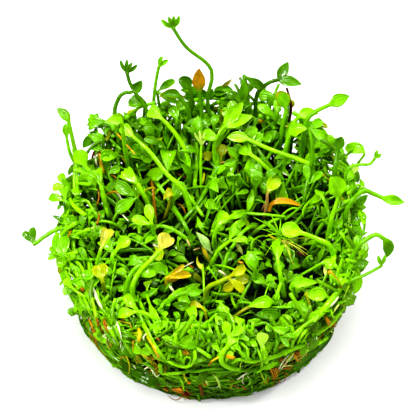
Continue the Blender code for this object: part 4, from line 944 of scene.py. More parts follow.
def smooth_line(points, count):
    """A number of points at even spacing along a smooth curve through the given points."""
    points = np.asarray(points, float)
    ends = np.vstack((2 * points[0] - points[1], points, 2 * points[-1] - points[-2]))
    t = np.linspace(0.0, 1.0, 9)[:-1, None]
    pieces = []
    for a, b, c, d in zip(ends, ends[1:], ends[2:], ends[3:]):
        pieces.append(0.5 * (2 * b + (c - a) * t + (2 * a - 5 * b + 4 * c - d) * t**2
                             + (3 * b - a - 3 * c + d) * t**3))
    fine = np.vstack((*pieces, points[-1]))
    walked = np.concatenate(((0.0,), np.cumsum(np.linalg.norm(np.diff(fine, axis=0), axis=1))))
    wanted = np.linspace(0.0, walked[-1], count)
    return np.stack([np.interp(wanted, walked, fine[:, k]) for k in range(3)], axis=1)


def shade_by_depth(line, tint):
    """The tint along a line with painted shade, darker the deeper its points lie in the clump."""
    shades = []
    for x, y, z in line:
        inside = max(0.0, wall_radius(z) - math.hypot(x, y) - LIT_SKIN) * WALL_SHADE
        depth = min(max(0.0, canopy_height(x, y) - z), inside)
        shades.append(1.0 - (1.0 - DARKEST) * smooth_step(0.0, SHADE_REACH, depth))
    return np.array(shades)[:, None] * np.asarray(tint)


def steady_frames(line, facing):
    """Directions to the side of and up from a line that never flip from one point to the next."""
    along = np.gradient(line, axis=0)
    along /= np.maximum(np.linalg.norm(along, axis=1), 1e-9)[:, None]
    side = np.cross(along, facing)
    strength = np.linalg.norm(side, axis=1)
    last = None
    for k in range(len(line) - 1, -1, -1):
        if strength[k] > LEAST_TURN:
            own = side[k] / strength[k]
            if last is not None and np.dot(own, last) < 0.0:
                own = -own
        else:
            own = last if last is not None else unit(np.cross(along[k], SPARE_WAY))
            own = unit(own - along[k] * np.dot(own, along[k]))
        side[k] = last = own
    return side, np.cross(side, along)


def stalk(growth, points, radius, tint, sides=6, count=9, taper=0.8, deepen=True, flat=1.0, facing=FACING):
    """A stalk along the points, from its radius at the root to taper times it at the end."""
    line = smooth_line(points, count)
    side, up = steady_frames(line, facing)
    turn = np.linspace(0.0, TURN, sides, endpoint=False)
    radii = radius * np.linspace(1.0, taper, count)[:, None, None]
    rings = line[:, None] + radii * (side[:, None] * np.cos(turn)[None, :, None]
                                     + flat * up[:, None] * np.sin(turn)[None, :, None])
    # painted shade: darker deeper in the clump, unless turned off
    tints = shade_by_depth(line, tint) if deepen else np.ones((count, 1)) * tint
    places = np.zeros((count, sides, 3))
    places[:, :, 0] = np.cos(turn)[None, :]
    places[:, :, 1] = np.linspace(0.0, 1.0, count)[:, None]
    growth.add_rings(rings, tints, places)


def outline(t, shape):
    """Half-width of a blade at t along it as a share of its widest."""
    if shape == "ovate":
        return np.sin(math.pi * np.minimum(1.0, t) ** OVATE_LEAN) ** OVATE_FULLNESS
    turn_in = ROUND_TURN_IN if shape == "round" else WEDGE_TURN_IN
    rise = 0.5 - 0.5 * np.cos(math.pi * np.minimum(1.0, t / (turn_in + TURN_IN_BLEND)))
    rise = rise if shape == "round" else (1.0 - WEDGE_STRAIGHTNESS) * rise + WEDGE_STRAIGHTNESS * t
    tip = np.sqrt(np.clip(1.0 - (np.maximum(0.0, t - turn_in) / (1.0 - turn_in)) ** 2, 0.0, 1.0))
    return rise * tip


def blade_body(growth, stalk_line, bend, shape, width, radius, tint, stem_tint, facing, cup=0.5, fold=0.0,
               wave=0.0, edge=None, sides=8, rows=7, phase=0.0, deepen=True):
    """One closed body: a round stalk that widens into a blade. bend holds the blade's start, turn and tip."""
    share = np.linspace(0.0, 1.0, rows)
    t = EVEN_SPACING * share + (1.0 - EVEN_SPACING) * np.sin(share * math.pi / 2.0)
    start, turn_point, tip = (np.asarray(point, float) for point in bend)
    blade_line = (((1.0 - t) ** 2)[:, None] * start + (2.0 * t * (1.0 - t))[:, None] * turn_point
                  + (t**2)[:, None] * tip)
    line = np.vstack((stalk_line, blade_line)) if len(stalk_line) else blade_line
    side, up = steady_frames(line, facing)
    stalk_rows = len(stalk_line)
    along = np.concatenate((np.zeros(stalk_rows), t))
    radii = np.linspace(FOOT_SWELL, NECK_SHARE, stalk_rows)
    radii = np.concatenate((radii, np.full(rows, NECK_SHARE))) * radius
    half = np.maximum(0.5 * width * outline(along, shape), radii * (1.0 - along) + LEAST_HALF)
    flat = np.minimum(1.0, along / FLAT_FROM)
    thin = radii * (1.0 - flat) + 0.5 * BLADE_THICKNESS * flat * (1.0 - TIP_THINNING * along**3)
    angle = np.linspace(0.0, TURN, sides, endpoint=False)
    across, skin = np.cos(angle)[None, :], np.sin(angle)[None, :]
    half, thin, flat, along = half[:, None], thin[:, None], flat[:, None], along[:, None]
    out = half * across * (1.0 - CUP_NARROWING * cup * flat * across**2)
    lift = thin * skin + flat * half * (cup * across**2 + fold * np.abs(across))
    lift = lift + wave * flat * half * np.abs(across) ** 3 * np.sin(WAVE_TURN * along + phase + across)
    rings = line[:, None] + out[:, :, None] * side[:, None] + lift[:, :, None] * up[:, None]
    mix = np.minimum(1.0, along * TINT_BLEND)
    tints = np.asarray(stem_tint) * (1.0 - mix) + np.asarray(tint) * mix
    # painted shade: darker deeper in the clump, unless turned off
    tints = shade_by_depth(line, tints) if deepen else tints
    tints = np.repeat(tints[:, None], sides, axis=1)
    if edge is not None:
        rim = np.maximum(np.abs(across), along) * EDGE_SHARPNESS - EDGE_START * EDGE_SHARPNESS
        rim = np.clip(rim, 0.0, 1.0)[:, :, None] * flat[:, :, None]
        tints = tints * (1.0 - rim) + np.asarray(edge) * rim
    places = np.zeros((len(line), sides, 3))
    places[:, :, 0] = across
    places[:, :, 1] = along
    places[:, :, 2] = flat
    growth.add_rings(rings, tints.reshape(-1, 3), places)


def frond(growth, path, tip, shape, width, radius, tint, stem_tint, facing, stalk_rows=7, **looks):
    """A leaf of one blade: the stalk runs into it without a joint."""
    path = np.asarray(path, float)
    base, tip = path[-1], np.asarray(tip, float)
    heading = unit(path[-1] - path[-2])
    pull = heading * STALK_PULL + unit(tip - base) * TIP_PULL
    turn_point = base + pull * np.linalg.norm(tip - base)
    stalk_line = smooth_line(path, stalk_rows + 1)[:-1]
    bend = (base, turn_point, tip)
    blade_body(growth, stalk_line, bend, shape, width, radius, tint, stem_tint, facing, **looks)


def fan(growth, base, tip, width, radius, tint, facing, cup):
    """Young lobes held together as one fan with a scalloped end."""
    reach = np.asarray(tip, float) - base
    length = np.linalg.norm(reach)
    along = reach / length
    side = unit(np.cross(along, facing))
    up = np.cross(side, along)
    open_angle = math.asin(min(0.95, width / 2.0 / length))
    u = np.linspace(-1.0, 1.0, FAN_POINTS)
    ring_u = np.concatenate((u, u[-2:0:-1]))
    skin = np.concatenate((np.ones(FAN_POINTS), -np.ones(FAN_POINTS - 2))) * np.sqrt(1.0 - ring_u**2)
    t = np.linspace(0.0, 1.0, FAN_ROWS)[:, None]
    notch = 1.0 - np.abs(np.sin(FAN_SCALLOPS * math.pi * (ring_u + 1.0) / 2.0))
    scallop = 1.0 - NOTCH_DEPTH * notch - CORNER_DEPTH * ring_u**4
    reach = length * t * (1.0 - t**3 * (1.0 - scallop[None, :]))
    turn = ring_u[None, :] * open_angle
    thick = (radius * (1.0 - t) + 0.5 * BLADE_THICKNESS * t) * skin[None, :]
    foot = radius * (1.0 - t) ** 2 * ring_u[None, :]
    ripple = FAN_RIPPLE * length * t * np.cos(2.0 * FAN_SCALLOPS * math.pi * ring_u / 2.0)[None, :]
    lift = thick + cup * reach * np.abs(np.sin(turn)) ** 2 + ripple - FAN_DROOP * cup * length * t**2
    rings = (np.asarray(base, float) + (reach * np.cos(turn))[:, :, None] * along
             + (reach * np.sin(turn) + foot)[:, :, None] * side + lift[:, :, None] * up)
    # painted shade: darker deeper in the clump
    tints = shade_by_depth(base + t * length * along, tint)
    ribs = FAN_DARK + FAN_LIGHT * scallop[None, :, None] * t[:, :, None]
    tints = np.repeat(tints[:, None], len(ring_u), axis=1) * ribs
    places = np.zeros((FAN_ROWS, len(ring_u), 3))
    places[:, :, 0] = ring_u[None, :]
    places[:, :, 1] = t
    places[:, :, 2] = np.minimum(1.0, t * 2.0)
    growth.add_rings(rings, tints.reshape(-1, 3), places)


def lobes(growth, base, tip, form, width, radius, tint, facing, chance, arch=0.3, shape="round", **looks):
    """Separate lobes that spread from the end of a stalk."""
    reach = np.asarray(tip, float) - base
    length = np.linalg.norm(reach)
    along = reach / length
    facing = unit(facing - along * np.dot(facing, along))
    side = np.cross(along, facing)
    for angle in SPREADS[form]:
        turn = math.radians(angle * chance.uniform(0.8, 1.2))
        aim = along * math.cos(turn) + side * math.sin(turn)
        own_length = length * chance.uniform(0.88, 1.06)
        droop = arch * chance.uniform(0.5, 1.4)
        turn_point = base + aim * own_length * 0.5 + facing * droop * own_length * 0.25
        end = base + aim * own_length - facing * droop * own_length * 0.3
        own = unit(facing - side * math.sin(turn) * 0.35)
        blade_body(growth, (), (base - aim * radius * 0.5, turn_point, end), shape, width, radius * 0.8,
                   tint * chance.uniform(0.88, 1.1), tint, own, phase=chance.uniform(0.0, 6.0), **looks)


def whole_leaf(growth, path, tip, form, width, radius, tint, stem_tint, facing, chance, arch=0.3,
               stalk_rows=7, stalk_sides=6, **looks):
    """A stalk with its blade or lobes."""
    if form in SINGLE_SHAPES:
        frond(growth, path, tip, form, width, radius, tint, stem_tint, facing, stalk_rows=stalk_rows,
              phase=chance.uniform(0.0, 6.0), **looks)
        return
    path = [np.asarray(point, float) for point in path]
    base = path[-1]
    stalk(growth, [*path, base + unit(np.asarray(tip) - base) * radius], radius, stem_tint,
          sides=stalk_sides, count=stalk_rows + 2)
    if form == "fan":
        fan(growth, base, tip, width, radius * 0.8, tint, facing, looks.get("cup", 0.4))
        return
    lobes(growth, base, tip, form, width, radius, tint, facing, chance, arch=arch, **looks)


# The leaves that can be told apart. A leaf's stalk runs through its path and its blade ends at its tip.

def hero(name, form, tint, width, path, tip, radius=STALK_RADIUS, stem=None, solid=True, **looks):
    """Notes one leaf that stands out, to be made later."""
    stem = tint if stem is None else stem
    HEROES.append((name, form, tint, width, path, tip, radius, stem, solid, looks))


def note_back_leaves():
    """The tall leaves at the back."""
    hero("tall_curled_clover", "bud", MIDDLE, 1.3,
         ((2, 27, 22), (-0.5, 29, 37), (0.5, 32, 42.5), (-0.5, 33.5, 45.5), (-5.5, 35, 49.5),
          (-8.5, 36, 54.5)), (-9, 36.5, 58), radius=0.5, cup=0.9, stem=SHADE * 1.2)
    hero("back_left_bud", "bud", SHADE, 1.1,
         ((-12, 25, 24), (-14.5, 27, 35), (-18.5, 30, 41.5), (-19.5, 31, 45)), (-18.8, 31.5, 48.5),
         radius=0.5, cup=0.9)
    hero("back_left_folded_leaf", "folded", MIDDLE, 1.2,
         ((-9, 28, 24), (-13, 29, 35), (-13, 30, 41), (-12, 31, 47)), (-10.3, 31.5, 49.5), radius=0.45,
         fold=0.6)
    hero("back_left_round_leaf", "round", SHADE, 3.0,
         ((-20, 24, 24), (-22.5, 25.5, 36), (-21.5, 26.5, 41), (-20, 27, 42.5), (-18.8, 27.5, 42)),
         (-16, 28, 45.5), radius=0.5, cup=0.8)
    hero("back_left_yellow_leaf", "ovate", FRESH * 0.9, 2.8,
         ((-19.5, 19.5, 24), (-20.2, 18.6, 35), (-20.5, 19, 40.5)), (-24.3, 19, 41),
         edge=ORANGE * 0.3 + MIDDLE * 0.6)
    hero("orange_leaf", "ovate", ORANGE * 0.8, 3.3,
         ((-1.8, 25, 27), (-2, 27, 36), (-2.5, 28.5, 41.5)), (-2.5, 29.5, 48), stem=SHADE, edge=BROWN,
         cup=0.3)
    hero("back_dark_leaf", "round", SHADE * 0.7, 3.6,
         ((-5, 28.5, 27), (-4.3, 29.5, 35.5), (-4.5, 31, 39)), (-7.5, 32, 42), cup=0.7)
    hero("back_narrow_leaf", "ovate", SHADE, 2.4,
         ((-5, 25.5, 24), (-5, 26, 37), (-7, 27, 41)), (-12, 26, 42), edge=ORANGE * 0.5, fold=0.5)
    hero("back_arched_leaf", "pair", SHADE, 2.5,
         ((7, 25.5, 24), (9, 28, 38), (8, 30.5, 44.5)), (10.8, 27.5, 41), arch=0.8)
    hero("back_right_oval_leaf", "pair", SHADE, 2.8,
         ((11.2, 27.5, 27), (11, 29, 39), (13.5, 30.5, 42), (16.5, 31.5, 42.5)), (21, 32, 45), cup=0.5,
         stem=SHADE * 0.6, shape="ovate")
    hero("back_right_far_leaf", "ovate", MIDDLE, 3.3,
         ((22, 21, 24), (22.5, 21, 38), (24.5, 21.8, 41.2), (28, 23, 42.5)), (32.5, 24, 44.4), cup=0.4,
         edge=SHADE)
    hero("back_right_low_leaf", "ovate", FRESH, 2.9,
         ((18.4, 22.8, 21), (19, 23, 34), (21, 23.5, 38)), (25.5, 23.5, 39))
    hero("back_right_large_leaf", "round", MIDDLE, 4.0,
         ((16.5, 23.5, 26), (17.3, 24.6, 34), (18, 25.8, 37.5)), (15.5, 27.5, 42), cup=0.6, edge=BROWN)
    hero("right_back_leaf_1", "ovate", FRESH, 3.4,
         ((17, 18, 22), (18, 19, 32.4), (18.8, 19.5, 36.2)), (22.8, 18.7, 38.8))
    hero("right_back_leaf_2", "pair", MIDDLE, 2.5,
         ((23, 13.5, 20), (24, 15, 34), (23.2, 17.5, 40)), (27, 17.5, 40.5))
    hero("right_back_leaf_3", "round", SHADE, 2.7,
         ((28.8, 8.6, 22), (28.8, 9.4, 32.4), (29.5, 13, 36.5)), (30.5, 14.5, 40.5))
    hero("right_curled_tendril", "folded", MIDDLE, 1.0,
         ((30, 5.5, 18), (31.5, 8, 35), (34, 9, 36.8), (36.8, 9.5, 36.5), (38, 10.5, 37.5)),
         (39, 10.5, 39.5), radius=THIN_STALK_RADIUS)
    hero("left_back_arched_leaf", "ovate", SHADE, 2.6,
         ((-22.5, 26.5, 23), (-24, 25.5, 29), (-27, 24.5, 30)), (-30.5, 24, 27), solid=False)


def note_right_leaves():
    """The leaves on the right."""
    hero("right_long_leaf", "ovate", MIDDLE, 2.7,
         ((31, 2, 22), (32, 2.2, 30.4), (35.2, 4.4, 32.9), (37.5, 5, 31.5), (40, 4.5, 30.5)), (45, 3.5, 30),
         edge=FRESH, fold=0.3)
    hero("right_cup_leaf", "round", FRESH, 5.0,
         ((27.5, 0, 20), (28, 0.2, 27.8), (29.3, 2.6, 31.4)), (27.5, 5, 37), cup=0.7)
    hero("right_arching_leaf", "ovate", SHADE, 2.8,
         ((30, -10, 18), (33.5, -9.2, 29), (35.5, -8.5, 31), (37.5, -8.5, 32.5), (39.3, -9, 31.5)),
         (40, -11, 27.5), stem=MIDDLE)
    hero("right_low_bud", "folded", MIDDLE, 1.0,
         ((29, -15, 18), (31.5, -15, 23.5), (35, -14.5, 25.5), (38.5, -14, 28)), (38.5, -13.2, 31),
         radius=THIN_STALK_RADIUS)
    hero("right_low_leaf", "ovate", SHADE, 2.6,
         ((31, -11.5, 18), (32.2, -12, 24), (33.2, -12, 25.5)), (36, -12, 27))
    hero("star_leaf", "round", FRESH * 1.1, 4.1,
         ((29.5, -6, 18), (27.5, -6.5, 26), (24.5, -6, 28), (22, -5.5, 29)), (16.3, -4, 29.3), radius=0.65)
    hero("right_funnel_leaf", "wedge", FRESH, 3.6,
         ((17, -15, 18), (16, -13.5, 24), (15.5, -11.5, 26)), (15.5, -7.5, 27.2), cup=0.8)
    hero("yellow_round_leaf", "round", YELLOW * 0.4 + FRESH * 0.6, 3.6,
         ((13, 9.5, 18), (13.5, 10, 23), (13.5, 10.5, 25)), (16.5, 14, 27), stem=BROWN + ROOT_AND_HIGHLIGHT_WHITE * 0.2,
         edge=MIDDLE, radius=THIN_STALK_RADIUS)
    hero("long_stalk_leaf", "ovate", FRESH, 2.9,
         ((23.4, 14.6, 20), (23.8, 14.8, 29.6), (21, 16.2, 31), (14.5, 18, 32.5), (9, 20.5, 33.5)),
         (4, 21.5, 33))
    hero("thick_stalk_leaf", "folded", FRESH * 0.95, 2.4,
         ((16.3, 12.5, 20), (15.5, 14.8, 26), (12, 16.8, 29.5), (10, 18, 30.5)), (7.3, 20.6, 31),
         radius=0.6)
    hero("right_flat_leaf", "ovate", FRESH, 2.6,
         ((19.5, -16.5, 20), (18.6, -17, 24.6)), (24.3, -16.8, 25.4))
    hero("right_round_leaf", "round", FRESH, 3.4,
         ((25.5, -19.5, 20), (26.3, -20, 24.3)), (21.8, -20.3, 25.3))


def note_centre_leaves():
    """The leaves in the middle."""
    hero("tall_bright_leaf", "folded", FRESH * 0.95, 3.3,
         ((1.5, 19.5, 20), (1, 20.5, 31), (2.1, 22.3, 33.4), (3.6, 23.6, 34.9)), (10.0, 26.5, 38.4),
         shape="ovate")
    hero("diagonal_leaf", "wedge", FRESH, 3.4,
         ((-4, 9, 18), (-6.2, 11, 26), (-10, 13.5, 28.7), (-14, 17.5, 32), (-17, 20, 33.4)),
         (-21, 23.7, 34.8), radius=0.55, cup=0.05)
    hero("left_back_wide_leaf", "wedge", FRESH, 4.0,
         ((-5, 16.5, 20), (-5.2, 18.5, 29), (-7.5, 21.5, 33), (-10.5, 23.7, 36)), (-14.5, 26.2, 37.5))
    hero("fork_clover", "bud", PALE * 0.45 + FRESH * 0.4, 0.75,
         ((-2, 15, 20), (-2.2, 18, 28), (-2, 20, 32)), (-1.7, 22, 35), radius=THIN_STALK_RADIUS, stem=FRESH)
    hero("centre_small_leaf", "pair", FRESH, 1.9,
         ((0, -6, 18), (2, -5.5, 23.5), (4.5, -4, 25)), (7.7, -1.5, 26))
    hero("centre_leaf", "wedge", FRESH, 3.4, ((1, 0, 18), (1, -0.5, 22.5), (1.3, 0, 24)), (4, 3, 27))
    hero("centre_right_leaf", "ovate", MIDDLE, 2.9, ((10.5, -12, 18), (10.2, -11.5, 24.2)), (8.5, -8, 26.4))
    hero("yellow_curled_leaf", "pair", YELLOW * 0.75 + SHADE * 0.25, 2.4,
         ((-1, -17.3, 18), (-0.5, -18, 25), (2, -18.5, 27.8), (4, -18, 28.7)), (8.7, -17.5, 28), arch=0.9,
         stem=YELLOW * 0.5 + FRESH * 0.4, radius=0.65)
    hero("orange_open_leaf", "folded", ORANGE * 0.5 + YELLOW * 0.5, 1.5,
         ((-10, -14, 19), (-9.8, -14.4, 24.1)), (-4.6, -12.1, 24.8), cup=0.9, edge=YELLOW)
    hero("front_arching_leaf", "ovate", MIDDLE, 2.5,
         ((-10.5, -20, 18), (-9.5, -21, 23.5), (-7.5, -21, 26), (-5.5, -20.5, 26.5)), (-2, -19.8, 25.5))
    hero("orange_strip", "ovate", ORANGE, 1.7,
         ((14, 10, 20), (14.5, 10.5, 21.5)), (22.5, 9, 22), solid=False, edge=YELLOW)
    hero("front_ovate_leaf", "ovate", FRESH, 3.1,
         ((15.5, -17.5, 18), (14, -19.5, 22)), (8.5, -22, 23.5), solid=False)
    hero("front_round_leaf", "round", FRESH, 3.4,
         ((16.5, -29.5, 19), (16.5, -28.5, 22)), (17, -25.5, 25), solid=False)
    hero("front_pale_leaf", "wedge", PALE * 0.3 + FRESH * 0.6, 3.0,
         ((12.5, -32.5, 17), (11.5, -33.4, 22.3)), (11.6, -31.6, 26.4), solid=False, stem=FRESH, cup=0.1)
    hero("front_oval_leaf", "ovate", SHADE, 2.8,
         ((16.5, -22.5, 18), (15.5, -23, 21)), (10, -23.5, 22.3), solid=False)


def note_left_leaves():
    """The leaves on the left."""
    hero("left_back_fan", "fan", MIDDLE, 5.0,
         ((-21.5, 22.5, 24), (-22.3, 23.6, 33.5), (-25, 25.3, 34.5)), (-29.5, 26.3, 33.5))
    hero("left_small_oval_leaf", "round", MIDDLE, 2.0,
         ((-29, 18, 20), (-33, 20.4, 27.5), (-34, 22.5, 31)), (-34, 25, 34.2), radius=0.42)
    hero("left_tall_leaf", "ovate", MIDDLE * 0.8, 2.5,
         ((-29.2, 13, 20), (-30.4, 14.6, 27.5), (-32.3, 20, 33), (-33.3, 23, 37)), (-36.2, 25.5, 38.7),
         radius=0.5)
    hero("left_triangle_leaf", "pair", FRESH, 2.4,
         ((-31.5, 8.5, 18), (-33.5, 11, 25.5), (-34, 12, 26.5)), (-37, 13.5, 27))
    hero("left_lobe_leaf", "round", FRESH, 4.0,
         ((-27, 14, 19), (-28, 14.3, 27.6), (-28.9, 15, 29)), (-31.3, 18, 32.5))
    hero("left_funnel_leaf", "wedge", FRESH, 3.6,
         ((-23.5, 9, 17), (-25, 10, 24), (-25.5, 11, 26.3)), (-27, 15.2, 28.5), cup=0.8, radius=0.65)
    hero("left_fan", "fan", FRESH, 4.6,
         ((-13, 9, 17), (-15.5, 10.5, 24.5), (-17, 12, 27)), (-20.8, 15.8, 28.2), radius=0.65)
    hero("left_outlying_leaf", "folded", SHADE, 2.1,
         ((-32, 1.5, 19), (-34.5, 1.7, 23), (-38.3, 0.9, 21.4), (-41, -0.2, 19.6)), (-43.2, 3.6, 20.8),
         stem=MIDDLE)
    hero("left_big_leaf", "round", MIDDLE, 4.5, ((-31, -8, 17), (-33.2, -7.5, 22)), (-34.5, -1, 24.5))
    hero("yellow_funnel_leaf", "wedge", YELLOW * 0.5 + PALE * 0.35, 3.2,
         ((-26.5, -8, 19), (-25.3, -6.6, 24)), (-23.5, -1.8, 26.6), cup=1.0, edge=YELLOW, stem=FRESH * 0.9)
    hero("left_green_leaf", "round", FRESH, 3.1,
         ((-22, -8.5, 18), (-22.5, -7, 22.6), (-21.8, -6, 23.6)), (-18.5, -3, 24.8))
    hero("yellow_round_left_leaf", "round", YELLOW * 0.55 + MIDDLE * 0.25, 4.0,
         ((-24, -15, 19), (-24.3, -15, 23.8)), (-25.3, -11.2, 25), edge=YELLOW)
    hero("arching_yellow_leaf", "round", YELLOW * 0.2 + ORANGE * 0.2 + PALE * 0.4, 3.6,
         ((-16.5, -19, 18), (-17.5, -18.5, 25), (-16, -16, 28), (-13.3, -13, 29), (-11.5, -10.5, 29)),
         (-9.3, -5.5, 28.3), radius=0.55, stem=FRESH)
    hero("front_left_curled_leaf", "pair", FRESH, 2.5,
         ((-11.2, -26.5, 18), (-12.5, -26.2, 24.6), (-16, -25.3, 25.8)), (-20.5, -23.8, 26.6), arch=0.8)
    hero("front_hooked_leaf", "pair", FRESH, 2.3, ((5, -30, 17), (4.2, -31.5, 24.5)), (5.4, -29, 27.5))
    hero("left_cluster_leaf", "pair", MIDDLE, 2.6,
         ((-32, 9.5, 19), (-33, 8, 24), (-34, 8.5, 25)), (-37, 12, 26), solid=False)
    hero("arching_green_leaf", "ovate", MIDDLE, 2.8,
         ((-19.5, -17.5, 18), (-18.5, -16, 25), (-16.5, -13.5, 27), (-13, -12, 26)), (-10, -13.5, 24),
         solid=False)
    hero("left_low_leaf", "round", MIDDLE, 2.0,
         ((-28, -15.5, 12), (-30, -15, 12)), (-33, -14, 12), solid=False)
    hero("left_twin_leaf", "pair", FRESH, 2.6, ((-13, 2.5, 19), (-13.5, 2, 24)), (-17, 5, 27), solid=False)
    hero("front_left_disc", "round", FRESH, 3.2,
         ((-20, -23.5, 18), (-19, -26, 20)), (-17, -28, 21.5), solid=False)


def make_heroes(material):
    """One smooth leaf for each leaf solid, and those that only the looks have."""
    chance = random.Random(SEED)
    for name, form, tint, width, path, tip, radius, stem, solid, looks in HEROES:
        growth = Growth()
        whole_leaf(growth, path, tip, form, width, radius, tint, stem, FACING, chance, sides=16, rows=11,
                   stalk_rows=5 * len(path), stalk_sides=10, wave=0.08, **looks)
        made = growth.make(name + "_look", material, "fresh_green")
        if solid:
            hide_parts(name)


def make_runners(material):
    """The creeping stems and the dead stalk."""
    for name, (points, radius, tint, sides, count, taper, slot, solid) in RUNNERS.items():
        growth = Growth()
        stalk(growth, points, radius, tint, sides=sides, count=count, taper=taper, deepen=False)
        made = growth.make(name + "_look" if solid else name, material, slot)
        if solid:
            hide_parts(name)


# The small leaves between them

def jitter(chance, across, rise=0.0, lift=0.0):
    """A random vector, as strong along X as along Y and with its own strength and middle along Z."""
    x, y = chance.gauss(0.0, across), chance.gauss(0.0, across)
    return np.array((x, y, chance.gauss(lift, rise) if rise else lift))


def kept_inside(place, inset):
    """The place, moved in until it is so far inside the cup's wall."""
    share = min(1.0, (wall_radius(place[2]) - inset) / max(0.1, math.hypot(place[0], place[1])))
    return place * (share, share, 1.0)


def spread_spots(count, chance, low, high):
    """Places spread evenly over a ring of the plug between two shares of its radius."""
    for i in range(count):
        share = math.sqrt(low * low + (high * high - low * low) * (i + chance.random()) / count)
        around = i * GOLDEN_ANGLE + chance.uniform(-0.25, 0.25)
        yield share * RIM_RADIUS * math.cos(around), share * RIM_RADIUS * math.sin(around)


def leaf_tint(chance, y):
    """Small leaf tint: bright in front, greener at the back as painted shade, now and then a yellow one."""
    roll = chance.random()
    if roll < 0.015:
        return YELLOW * chance.uniform(0.7, 1.0)
    if roll < 0.017:
        return ORANGE * chance.uniform(0.6, 0.9)
    # the share that grows towards the back is painted shade; the rest is random tone
    shade = smooth_step(2.0, 32.0, y) * 0.35 + chance.uniform(0.0, 0.85)
    if shade < 0.6:
        return FRESH * (1.0 - shade) + MIDDLE * shade
    return MIDDLE * (1.6 - shade) + SHADE * (shade - 0.6)


def small_leaf(growth, x, y, chance, lean, drop, size=1.0):
    """One leaf of the canopy: its stalk comes out of the dark and its blade ends near the canopy's height."""
    top = canopy_height(x, y) - drop - hollow_depth(x, y)
    outward = unit((x, y, 0.0)) if math.hypot(x, y) > 1.0 else np.zeros(3)
    rise = unit(np.array((0.0, 0.0, 1.0)) + outward * lean + jitter(chance, 0.5))
    length = chance.uniform(2.0, 5.2) * size
    heading = unit(rise * 0.8 + jitter(chance, 0.9, 0.4, -0.3))
    base = np.array((x, y, top)) - heading * length * 0.5
    foot = base - rise * chance.uniform(7.0, 14.0) - outward * chance.uniform(0.0, 2.5)
    foot[2] = max(MAT_HEIGHT, foot[2])
    foot = kept_inside(foot, 2.0)
    middle = kept_inside((foot + base) / 2.0 + jitter(chance, 1.2), 0.8)
    tip = kept_inside(base + heading * length, -2.2)
    form = chance.choices(list(CANOPY_FORMS), [often for often, _ in CANOPY_FORMS.values()])[0]
    facing = unit(FACING + jitter(chance, 0.6, 0.3))
    tint = leaf_tint(chance, y)
    whole_leaf(growth, (foot, middle, base), tip, form,
               length * CANOPY_FORMS[form][1] * chance.uniform(0.75, 1.2), chance.uniform(0.26, 0.5) * size,
               tint, tint * chance.uniform(0.8, 1.1), facing, chance, arch=chance.uniform(-0.1, 0.9),
               stalk_rows=6, rows=6, cup=chance.uniform(0.0, 0.8), fold=chance.uniform(-0.1, 0.6), wave=0.12)


def crossing_stalk(growth, chance):
    """A long bare stalk that leans across the canopy, fewer of them in front."""
    around, share = chance.uniform(0.0, TURN), math.sqrt(chance.random())
    x, y = share * RIM_RADIUS * 0.9 * math.cos(around), share * RIM_RADIUS * 0.9 * math.sin(around)
    way = unit(jitter(chance, 1.0) + 0.5 * unit((x, y, 0.1)))
    reach = chance.uniform(5.0, 15.0)
    if y < 4.0 and chance.random() < 0.5:
        return
    high = canopy_height(x, y) - chance.uniform(0.0, 5.0) - 0.6 * hollow_depth(x, y)
    start = np.array((x, y, high - chance.uniform(5.0, 9.0))) - way * 1.5
    bend = np.array((x, y, high))
    points = [start, bend]
    for step in (0.5, 1.0):
        place = bend + way * reach * step
        place[2] = canopy_height(place[0], place[1]) - chance.uniform(-0.5, 4.0)
        points.append(place)
    if math.hypot(points[-1][0], points[-1][1]) > RIM_RADIUS:
        return
    tint = leaf_tint(chance, y * 0.5)
    stalk(growth, points, chance.choice((0.25, 0.36, 0.5, 0.62)), tint, sides=8, count=16, taper=0.65)


def tall_leaf(growth, chance, x, y):
    """A leaf that stands clear above the back of the canopy."""
    top = canopy_height(x, y) + chance.uniform(0.0, 6.0)
    lean = np.array((chance.gauss(x * 0.08, 1.6), chance.gauss(1.0, 1.5), 0.0))
    heading = unit((chance.gauss(0, 0.8), chance.gauss(0.1, 0.6), chance.gauss(0.4, 0.6)))
    length = chance.uniform(3.2, 6.2)
    base = np.array((x, y, top)) + lean - heading * length * 0.5
    foot = np.array((x, y, top - chance.uniform(12.0, 17.0)))
    form = chance.choice(("round", "ovate", "ovate", "pair", "folded", "wedge"))
    tint = leaf_tint(chance, y) * 0.9
    wide = 0.5 if form in SPREADS else 0.68
    whole_leaf(growth, (foot, (foot + base) / 2.0 + lean * 0.2, base), base + heading * length, form,
               length * wide * chance.uniform(0.8, 1.15), chance.uniform(0.3, 0.5), tint, tint, FACING,
               chance, arch=chance.uniform(0.0, 0.8), stalk_rows=9, rows=8, cup=chance.uniform(0.0, 0.7),
               fold=chance.uniform(0.0, 0.4), wave=0.1, sides=10)


def make_canopy(material):
    """The small leaves of the canopy, from the middle to the rim."""
    chance = random.Random(SEED + 1)
    middle, rim, tall = Growth(), Growth(), Growth()
    for x, y in spread_spots(MIDDLE_LEAVES, chance, 0.0, 0.86):
        small_leaf(middle, x, y, chance, 0.15, chance.uniform(-1.0, 5.5), size=chance.uniform(0.8, 1.15))
    for _ in range(CROSSING_STALKS):
        crossing_stalk(middle, chance)
    for x, y in spread_spots(FRONT_LEAVES, chance, 0.0, 0.82):
        if y < 6.0:
            small_leaf(middle, x, y, chance, 0.15, chance.uniform(-0.3, 3.0), size=chance.uniform(0.6, 0.9))
    made = middle.make("canopy_middle", material, "tangle_green")
    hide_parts("stalk_tangle")
    for x, y in spread_spots(RIM_LEAVES, chance, 0.82, 0.99):
        small_leaf(rim, x, y, chance, 0.55, chance.uniform(-1.2, 5.0), size=0.85)
    rim.make("canopy_rim", material, "tangle_green")
    for x, y in spread_spots(BACK_LEAVES, chance, 0.3, 0.93):
        if y > 10.0 and abs(x) < 27.0:
            tall_leaf(tall, chance, x, y)
    tall.make("canopy_tall", material, "tangle_green")


